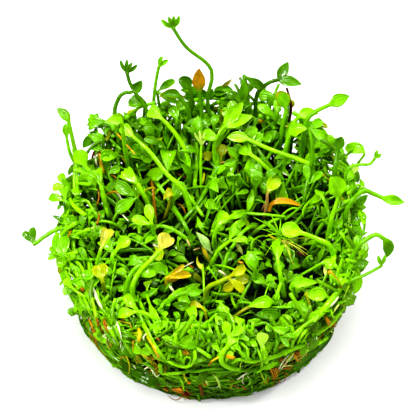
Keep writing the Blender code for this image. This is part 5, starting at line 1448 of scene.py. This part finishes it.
def make_moss(material):
    """Fine feathery strands deep in the gaps."""
    chance = random.Random(SEED + 4)
    growth = Growth()
    for x, y in spread_spots(MOSS_TUFTS, chance, 0.0, 0.93):
        top = canopy_height(x, y) - chance.uniform(3.0, 7.0)
        foot = np.array((x, y, top - 3.5))
        # the moss's dark greens are painted shade at random strengths; its stalks darken them further with
        # depth
        tint = (SHADE * 0.7 + DEEP_SHADE * 0.3) * chance.uniform(0.8, 3.2)
        for _ in range(MOSS_STRANDS):
            way = np.array((chance.gauss(0, 0.8), chance.gauss(0, 0.8), chance.uniform(0.2, 1.2)))
            end = foot + unit(way) * chance.uniform(2.5, 5.5)
            middle = (foot + end) / 2.0 + jitter(chance, 0.5, lift=0.4)
            stalk(growth, (foot, middle, end), chance.uniform(0.07, 0.15), tint, sides=3, count=5, taper=0.3)
    growth.make("moss_strands", material, "mat_green")


# The wall

def wall_point(around, height, inset):
    """A place near the wall, so far inside it, at an angle from +X and a height."""
    height = max(0.4, height)
    radius = wall_radius(height) - inset
    return np.array((radius * math.cos(around), radius * math.sin(around), height))


def wall_ways(around, rise=0.0):
    """The way out of the wall at an angle from +X, rising so much, and the way along it."""
    out = np.array((math.cos(around), math.sin(around), rise))
    return out, np.array((-math.sin(around), math.cos(around), 0.0))


def left_reach(around):
    """How much lower the green growth reaches at an angle from +X."""
    return LEFT_REACH * smooth_step(LEFT_START, LEFT_FULL, -math.cos(around))


def wall_tint(chance, x, y, height):
    """A wall tint: bright at the sides and high up, duller low down, with painted shade at back and front."""
    back = smooth_step(0.0, 30.0, y)
    beside = max(smooth_step(12.0, 26.0, -x), 0.7 * smooth_step(20.0, 30.0, x))
    low = (1.0 - smooth_step(3.0, 12.0, height)) * (1.0 - 0.8 * beside)
    front = (1.0 - smooth_step(-14.0, 8.0, y)) * (1.0 - beside)
    # greener towards the back: painted shade
    tint = FRESH * (1.0 - back) + MIDDLE * back
    # darker in front, where the wall is lit less: painted shade; the choice varies the tone at random
    tint = tint * chance.choice((0.4, 0.6, 0.8, 0.9, 1.0)) * (1.0 - 0.3 * front)
    tint = tint * (1.0 - 0.6 * low) + SHADE * 0.25 * low
    roll = chance.random()
    if roll < 0.05:
        tint = tint * 0.4 + YELLOW * 0.5
    elif roll < 0.075:
        tint = tint * 0.3 + ORANGE * 0.6
    return tint


def wall_stem(growth, chance, low, high):
    """A stem that the cup's wall pressed flat: it falls to the front, or curls where the wall faces front."""
    around = chance.uniform(0.0, TURN)
    low -= left_reach(around)
    side = abs(math.cos(around))
    way = 1.0 if math.cos(around) < 0.0 else -1.0
    if math.sin(around) > 0.3:
        way = chance.choice((-1.0, 1.0))
    fall = -42.0 * side * smooth_step(-0.8, 0.3, -math.sin(around))
    if chance.random() < 0.25:
        fall = -fall * 0.7
    slope = math.radians(chance.gauss(fall, 24.0))
    height = chance.uniform(low, high) - math.tan(slope) * 2.0
    inset = chance.uniform(0.4, 3.0)
    step = chance.uniform(7.0, 20.0) / 7.0
    curl = chance.gauss(0.0, 0.04 + 0.12 * (1.0 - side))
    points = []
    for _ in range(8):
        points.append(wall_point(around, min(high + 1.5, max(low, height)), inset))
        around += way * math.cos(slope) * step / wall_radius(height)
        height += math.sin(slope) * step
        slope += curl * step + chance.gauss(0.0, 0.13)
        inset = max(0.2, inset + chance.gauss(0.0, 0.6))
    tint = wall_tint(chance, *points[3])
    radius = chance.choices(list(WALL_STEM_RADII), list(WALL_STEM_RADII.values()))[0]
    outward = unit((points[4][0], points[4][1], 0.0))
    stalk(growth, points, radius * chance.uniform(0.85, 1.15), tint, sides=8, count=18,
          taper=chance.uniform(0.5, 0.9), flat=0.6, facing=outward)


def wall_leaf(growth, chance, low, high):
    """A small leaf pressed to the wall."""
    around = chance.uniform(0.0, TURN)
    height = chance.uniform(max(4.0, low - left_reach(around)), high)
    base = wall_point(around, height, chance.uniform(0.6, 3.0))
    out, aside = wall_ways(around, 0.15)
    aim = unit(aside * chance.gauss(0.0, 1.0) + np.array((0.0, 0.0, chance.gauss(0.3, 0.8))) + out * 0.05)
    length = chance.uniform(2.2, 4.8)
    tint = wall_tint(chance, *base[:2], height)
    form = chance.choice(("round", "ovate", "wedge", "folded", "bud"))
    wide = {"bud": 0.22, "folded": 0.35}.get(form, 0.55)
    foot = base - aim * chance.uniform(2.0, 5.0) - out * 0.6
    whole_leaf(growth, (foot, (foot + base) / 2.0 + out * 0.3, base), base + aim * length, form,
               length * wide * chance.uniform(0.7, 1.2), 0.3, tint, tint, unit(out + FACING * 0.3), chance,
               stalk_rows=3, rows=6, cup=chance.uniform(0.0, 0.6), fold=chance.uniform(0.0, 0.4),
               arch=chance.uniform(-0.4, 0.4), wave=0.1)


def overhang_leaf(growth, chance):
    """A leaf of the rim that hangs over the wall."""
    around = chance.uniform(0.0, TURN)
    out, aside = wall_ways(around)
    lift = canopy_height(*(out[:2] * RIM_RADIUS)) - RIM_HEIGHT
    inset = chance.uniform(-0.6, 0.8) + 1.5 * smooth_step(0.5, 0.9, -math.sin(around))
    base = wall_point(around, chance.uniform(15.0, 22.0), inset) + (0.0, 0.0, lift)
    aim = unit(out * chance.uniform(0.0, 0.3) + aside * chance.gauss(0.0, 0.9)
               + np.array((0.0, 0.0, min(0.3, chance.gauss(-0.35, 0.7)))))
    length = chance.uniform(3.0, 5.6)
    foot = base - aim * chance.uniform(3.0, 8.0) - out * chance.uniform(1.0, 4.0) + (0.0, 0.0, 1.0)
    form = chance.choices(list(OVERHANG_FORMS), list(OVERHANG_FORMS.values()))[0]
    wide = 0.42 if form in SPREADS else 0.6
    tint = wall_tint(chance, *base[:2], 20.0) * 1.15
    whole_leaf(growth, (foot, (foot + base) / 2.0 + out * 0.8, base), base + aim * length, form,
               length * wide * chance.uniform(0.75, 1.15), chance.uniform(0.3, 0.5), tint, tint,
               unit(out * 0.8 + FACING), chance, stalk_rows=6, rows=7, cup=chance.uniform(0.0, 0.7),
               fold=chance.uniform(0.0, 0.5), arch=chance.uniform(0.0, 0.5), wave=0.1, sides=10)


def make_wall(material):
    """The matted stems and leaves round the wall."""
    chance = random.Random(SEED + 2)
    stems, leaves = Growth(), Growth()
    for _ in range(WALL_STEMS):
        wall_stem(stems, chance, MAT_HEIGHT, RIM_HEIGHT)
    stems.make("wall_stems", material, "tangle_green")
    for _ in range(WALL_LEAVES):
        wall_leaf(leaves, chance, MAT_HEIGHT, RIM_HEIGHT + 0.5)
    for _ in range(OVERHANG_LEAVES):
        overhang_leaf(leaves, chance)
    leaves.make("wall_leaves", material, "tangle_green")


def mat_tint(chance, x, height):
    """A tint for the pressed foot: olive green, brighter on the left, with some dead brown near the floor."""
    if chance.random() < 0.04 + 0.08 * (1.0 - smooth_step(0.5, 2.5, height)):
        return BROWN * chance.uniform(0.4, 0.9)
    left = 1.0 + 0.6 * smooth_step(20.0, 28.0, -x)
    return (SHADE * 0.9 + YELLOW * 0.03) * chance.uniform(0.35, 1.35) * left


def mat_lobe(growth, chance):
    """An old leaf pressed flat against the foot."""
    around = chance.uniform(0.0, TURN)
    height = chance.uniform(0.9, MAT_HEIGHT + 1.0)
    base = wall_point(around, height, chance.uniform(0.1, 1.2))
    out, aside = wall_ways(around, -0.12)
    aside = aside * chance.choice((-1, 1))
    length = chance.uniform(2.5, 6.0)
    end = base + aside * length - out * length**2 / 60.0
    end[2] = max(0.7, height + chance.gauss(0.0, 1.0))
    bend = (base, (base + end) / 2.0 + out * 0.25, end)
    blade_body(growth, (), bend, "ovate", length * chance.uniform(0.2, 0.5), 0.25,
               mat_tint(chance, base[0], height), SHADE * 0.4, out, cup=0.15, wave=0.15, deepen=False, rows=6)


def mat_stem(growth, chance):
    """An old stem pressed flat round the foot."""
    around, height = chance.uniform(0.0, TURN), chance.uniform(0.8, MAT_HEIGHT + 0.5)
    turn, slope = chance.uniform(0.1, 0.4), chance.gauss(0.0, 1.2)
    points = [wall_point(around + turn * k / 5.0, height + slope * k / 5.0, chance.uniform(-0.2, 0.7))
              for k in range(6)]
    radius = chance.uniform(0.12, 0.34)
    stalk(growth, points, radius, mat_tint(chance, points[0][0], height) * 1.2, count=12, deepen=False)


def make_mat(material):
    """The foot: old leaves and stems pressed flat and dark."""
    chance = random.Random(SEED + 3)
    growth = Growth()
    for _ in range(MAT_LOBES):
        mat_lobe(growth, chance)
    for _ in range(MAT_STEMS):
        mat_stem(growth, chance)
    for path, tip, width, tint in BASE_LOBES:
        frond(growth, path, tip, "round", width, 0.5, tint, tint, unit((path[1][0], path[1][1], -5.0)),
              sides=20, rows=16, wave=0.05, cup=-0.2, deepen=False)
    made = growth.make("root_mat_wall", material, "mat_green")
    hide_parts("root_mat")


def seen_stem(growth, half_width, lift, tint, spots, deepen=True):
    """A stem through pixels of the photograph, sunk into the clump at both ends."""
    last = len(spots) - 1
    sunk = min(SUNK_END, lift + 0.5 * SUNK_END) if last > 1 else 0.0
    points = [seen_at(spot, lift - (sunk if i in (0, last) else 0.0)) for i, spot in enumerate(spots)]
    middle = points[len(points) // 2]
    if middle[2] > TOP_HEIGHT and max(points[0][1], points[-1][1]) < BACK_RISE_END:
        first_end, last_end = (points[i] + sight(spots[i])[0] * END_REACH for i in (0, -1))
        points = [first_end, *points, last_end]
    stalk(growth, points, half_width, tint, sides=10, count=max(6, 5 * len(points)), flat=0.75,
          facing=unit(unit((middle[0], middle[1], 8.0)) + FACING), deepen=deepen)


def seen_leaf(growth, form, width, lift, tint, spots, chance):
    """A leaf through three pixels of the photograph: on its stalk, its base and its tip."""
    lifts = (lift - SUNK_END, lift - SUNK_BASE, lift)
    foot, base, tip = (seen_at(spot, own) for spot, own in zip(spots, lifts))
    towards = -sight(spots[1])[0]
    path = [foot, (foot + base) / 2.0, base]
    if foot[2] > TOP_HEIGHT and foot[1] < BACK_RISE_END:
        path.insert(0, foot + ROOT_STEP)
    facing = unit(towards + np.array((chance.gauss(0, 0.3), chance.gauss(0, 0.2), chance.gauss(0, 0.3))))
    whole_leaf(growth, path, tip, form, width, 0.34, tint, tint, facing, chance,
               stalk_rows=5, rows=10, cup=chance.uniform(0.0, 0.5), fold=chance.uniform(0.0, 0.4),
               arch=chance.uniform(0.0, 0.5), wave=0.08, sides=14)


def make_seen(material):
    """The stems, flecks and leaves that the photograph shows one by one, some flecks painted highlights."""
    chance = random.Random(SEED + 7)
    growth, leaves = Growth(), Growth()
    for half_width, lift, tint, *spots in SEEN_STEMS:
        seen_stem(growth, half_width, lift, tint * chance.uniform(0.82, 1.0), spots)
    for form, width, lift, tint, *spots in SEEN_LEAVES:
        seen_leaf(leaves, form, width, lift, tint * chance.uniform(0.85, 1.0), spots, chance)
    for half_width, lift, tint, *spots in SEEN_FLECKS:
        seen_stem(growth, half_width, lift, tint, spots, deepen=False)
    growth.make("near_side_growth", material, "tangle_green")
    leaves.make("near_side_leaves", material, "tangle_green")


def make_curls(material):
    """Bright stems that curl free of the wall on the far side."""
    chance = random.Random(SEED + 5)
    growth = Growth()
    for _ in range(WALL_CURLS):
        around = math.radians(chance.uniform(-20.0, 200.0))
        height = chance.uniform(9.0, 20.0)
        bend = chance.choice((-1, 1)) * chance.uniform(0.35, 0.8)
        slope = chance.uniform(0.0, TURN)
        points = []
        for k in range(7):
            free = 0.3 + 0.9 * math.sin(k / 6.0 * math.pi)
            points.append(wall_point(around, max(4.0, min(23.0, height)), -free))
            around += math.cos(slope) * 1.7 / 33.0
            height += math.sin(slope) * 1.7
            slope += bend
        stalk(growth, points, chance.uniform(0.3, 0.5), FRESH * chance.uniform(0.75, 1.05), sides=8, count=18,
              taper=0.7)
    growth.make("wall_curls", material, "tangle_green")


def root_tuft(growth, chance, degrees, height, tint, count, spread):
    """Fine roots that hang from one place on the wall."""
    for _ in range(count):
        around = math.radians(degrees + chance.gauss(0.0, spread))
        start = wall_point(around, height + chance.gauss(0.0, 1.5), chance.uniform(-0.5, 0.3))
        drop = chance.uniform(1.5, 5.0)
        end = wall_point(around + chance.gauss(0.0, 0.05), start[2] - drop, -0.4)
        middle = (start + end) / 2.0 + unit((start[0], start[1], 0.0)) * 0.5
        middle = middle + jitter(chance, 0.4)
        stalk(growth, (start, middle, end), chance.uniform(0.08, 0.17), tint * chance.uniform(0.7, 1.1),
              sides=4, count=7, taper=0.3, deepen=False)


def root_star(growth, chance, centre, way, count, radius, tint):
    """Fine roots that spread from one place on top."""
    for _ in range(count):
        end = centre + unit(way + jitter(chance, 0.7, 0.25)) * chance.uniform(3.5, 8.0)
        middle = (centre + end) / 2.0 + np.array((0.0, 0.0, 0.7))
        stalk(growth, (centre, middle, end), radius, tint * chance.uniform(0.75, 1.05), sides=5, count=8,
              taper=0.2, deepen=False)


def make_roots(material):
    """Fine roots: white hairs and rusty tufts on the wall, and a pale star of them under the star leaf."""
    chance = random.Random(SEED + 6)
    growth = Growth()
    for tuft in ROOT_TUFTS:
        root_tuft(growth, chance, *tuft)
    for centre, way, count, radius, tint in ROOT_STARS:
        root_star(growth, chance, np.array(centre), np.array(way), count, radius, tint)
    for path, radius, tint in SINGLE_ROOTS:
        stalk(growth, path, radius, tint, count=12, taper=0.6, deepen=False)
    growth.make("fine_roots", material, "dead_brown")


def core_ring(radius, height):
    """One ring of the dark core, a little uneven and lifted at the back as the canopy is."""
    ring = []
    for k in range(CORE_SIDES):
        around = -TURN * k / CORE_SIDES
        x, y = radius * math.cos(around), radius * math.sin(around)
        swell = noise.noise((x * 0.25, y * 0.25, height * 0.3))
        reach = radius + (1.0 * swell if radius > 5.0 and height > 1.0 else 0.0)
        x, y = reach * math.cos(around), reach * math.sin(around)
        lift = 0.8 * BACK_RISE * smooth_step(BACK_RISE_START, BACK_RISE_END, y) if height > 13.0 else 0.0
        ring.append((x, y, height + lift))
    return ring


def make_core(material):
    """The inside of the clump, painted near black as shade, seen only through the gaps."""
    profile = ((0.5, 0.3), (FOOT_RADIUS - 1.2, 0.3), (FOOT_RADIUS - 0.8, 1.2),
               (wall_radius(MAT_HEIGHT) - 1.2, MAT_HEIGHT), (wall_radius(12.0) - 3.4, 12.0),
               (wall_radius(14.5) - 5.0, 14.5), (24.0, 15.5), (12.0, 14.5), (0.5, 14.0))
    rings = [core_ring(radius, height) for radius, height in profile]
    growth = Growth()
    # near-black tint: painted shade for the inside of the clump
    growth.add_rings(np.array(rings), np.tile(DEEP_SHADE * 0.3, (len(profile), 1)),
                     np.zeros((len(profile), CORE_SIDES, 3)))
    growth.make("dark_core", material, "mat_green")


# Materials

class Nodes:
    """A new material and short ways to add nodes to it. An input's value is a number or another's output."""

    def __init__(self, name):
        self.material = bpy.data.materials.new(name)
        self.material.use_nodes = True
        self.tree = self.material.node_tree
        self.shader = self.tree.nodes["Principled BSDF"]

    def fill(self, node, values):
        """Gives the node's inputs their values or links."""
        for key, value in values.items():
            if isinstance(value, bpy.types.NodeSocket):
                self.tree.links.new(value, node.inputs[key])
            else:
                node.inputs[key].default_value = value
        return node

    def math(self, operation, *values):
        """The output of a calculation."""
        node = self.tree.nodes.new("ShaderNodeMath")
        node.operation = operation
        return self.fill(node, dict(enumerate(values))).outputs[0]

    def attribute(self, name, output):
        """An output of an attribute of the mesh."""
        node = self.tree.nodes.new("ShaderNodeAttribute")
        node.attribute_name = name
        return node.outputs[output]

    def noise(self, scale, detail):
        """Noise through the object."""
        place = self.tree.nodes.new("ShaderNodeNewGeometry").outputs["Position"]
        node = self.tree.nodes.new("ShaderNodeTexNoise")
        return self.fill(node, {"Vector": place, "Scale": scale, "Detail": detail}).outputs["Fac"]

    def ranged(self, value, from_range, to_range):
        """The value, moved from one range to another."""
        node = self.tree.nodes.new("ShaderNodeMapRange")
        keys = ("From Min", "From Max", "To Min", "To Max")
        return self.fill(node, {"Value": value, **dict(zip(keys, from_range + to_range))}).outputs["Result"]

    def scaled(self, colour, strength):
        """The colour times a strength."""
        node = self.tree.nodes.new("ShaderNodeVectorMath")
        node.operation = "SCALE"
        return self.fill(node, {0: colour, "Scale": strength}).outputs[0]


def leaf_material():
    """Moist leaf and stalk: tint from the mesh, fan veins, faint mottling, a wet gloss."""
    nodes = Nodes("moist_leaf")
    split = nodes.tree.nodes.new("ShaderNodeSeparateXYZ")
    nodes.fill(split, {0: nodes.attribute("place", "Vector")})
    veins = nodes.math("MULTIPLY", nodes.math("SINE", nodes.math("MULTIPLY", split.outputs[0], 14.0)),
                       split.outputs[2])
    fine, broad = nodes.noise(1100.0, 3.0), nodes.noise(260.0, 2.0)
    mottle = nodes.math("MULTIPLY_ADD", veins, 0.03, nodes.ranged(fine, NOISE_RANGE, (0.84, 1.1)))
    light = nodes.math("MULTIPLY", mottle, nodes.ranged(broad, NOISE_RANGE, (0.76, 1.06)))
    bump = nodes.tree.nodes.new("ShaderNodeBump")
    nodes.fill(bump, {"Strength": 0.3, "Distance": 0.0001, "Height": nodes.math("ADD", veins, fine)})
    nodes.fill(nodes.shader, {
        "Base Color": nodes.scaled(nodes.attribute("tint", "Color"), light),
        "Roughness": nodes.ranged(fine, (0.0, 1.0), (0.08, 0.34)),
        "Normal": bump.outputs["Normal"],
        "Specular IOR Level": 0.42,
        "Subsurface Weight": 0.12,
        "Subsurface Radius": (0.5, 1.0, 0.05),
        "Subsurface Scale": 0.0007,
    })
    return nodes.material


def matt_material():
    """A matt matter with soft variation, tinted by the mesh."""
    nodes = Nodes("matt_growth")
    light = nodes.ranged(nodes.noise(800.0, 4.0), NOISE_RANGE, (0.55, 1.3))
    nodes.fill(nodes.shader, {
        "Base Color": nodes.scaled(nodes.attribute("tint", "Color"), light),
        "Roughness": 0.75,
        "Specular IOR Level": 0.2,
    })
    return nodes.material


# The studio

def dimmed_in_gloss(tree, strength):
    """A light strength that falls off for what the leaves' gloss mirrors."""
    path = tree.nodes.new("ShaderNodeLightPath")
    dimming = tree.nodes.new("ShaderNodeMath")
    dimming.operation = "MULTIPLY_ADD"
    dimming.inputs[1].default_value = -GLOSS_DIMMING * strength
    dimming.inputs[2].default_value = strength
    tree.links.new(path.outputs["Is Glossy Ray"], dimming.inputs[0])
    return dimming.outputs[0]


def make_floor():
    """A wide floor that is nearly white by itself and still takes a soft shadow."""
    bpy.ops.mesh.primitive_plane_add(size=FLOOR_SIZE, location=(0.0, 0.0, 0.0))
    floor = bpy.context.object
    floor.name = "studio_floor"
    nodes = Nodes("white_floor")
    nodes.fill(nodes.shader, {
        "Roughness": 0.9,
        "Specular IOR Level": 0.0,
        "Emission Color": (1.0, 1.0, 1.0, 1.0),
        "Emission Strength": dimmed_in_gloss(nodes.tree, FLOOR_GLOW),
        "Base Color": dimmed_in_gloss(nodes.tree, FLOOR_WHITE),
    })
    floor.data.materials.append(nodes.material)


def add_light(name, place, size, power, mirrored, spread):
    """A soft square light that points at the clump, for the leaves' gloss, for all but the gloss, or both."""
    data = bpy.data.lights.new(name, "AREA")
    data.energy = power
    data.size = size
    light = bpy.data.objects.new(name, data)
    bpy.context.scene.collection.objects.link(light)
    light.location = place
    light.visible_glossy = mirrored
    light.visible_diffuse = spread
    light.rotation_euler = (LIGHT_AIM - Vector(place)).to_track_quat("-Z", "Y").to_euler()


def make_lights():
    """A studio: one broad light overhead, small ones that glint on wet leaves, little from all round."""
    world = bpy.data.worlds.new("studio_light")
    world.use_nodes = True
    tree = world.node_tree
    background = tree.nodes["Background"]
    background.inputs["Color"].default_value = (1.0, 1.0, 1.0, 1.0)
    tree.links.new(dimmed_in_gloss(tree, WORLD_LIGHT), background.inputs["Strength"])
    bpy.context.scene.world = world
    for light in LIGHTS:
        add_light(*light)


def make_camera():
    """The photograph's view."""
    data = bpy.data.cameras.new("photo_camera")
    data.sensor_width = SENSOR_WIDTH
    data.lens = SENSOR_WIDTH * VIEW_DISTANCE / VIEW_WIDTH
    camera = bpy.data.objects.new("photo_camera", data)
    bpy.context.scene.collection.objects.link(camera)
    camera.location = (VIEW_TARGET - VIEW_WAY * VIEW_DISTANCE) * MM
    camera.rotation_euler = (math.pi / 2.0 - VIEW_ELEVATION, 0.0, 0.0)
    bpy.context.scene.camera = camera


def main():
    """Loads the frame and grows the looks on it."""
    for old in list(bpy.data.objects):
        bpy.data.objects.remove(old)
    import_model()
    bpy.context.scene.view_settings.view_transform = "Standard"
    bpy.context.scene.view_settings.look = "High Contrast"
    make_camera()
    make_lights()
    make_floor()
    leaf = leaf_material()
    matt = matt_material()
    note_back_leaves()
    note_right_leaves()
    note_centre_leaves()
    note_left_leaves()
    make_heroes(leaf)
    make_runners(leaf)
    make_canopy(leaf)
    make_moss(matt)
    make_wall(leaf)
    make_seen(leaf)
    make_curls(leaf)
    make_mat(leaf)
    make_roots(matt)
    make_core(matt)


main()
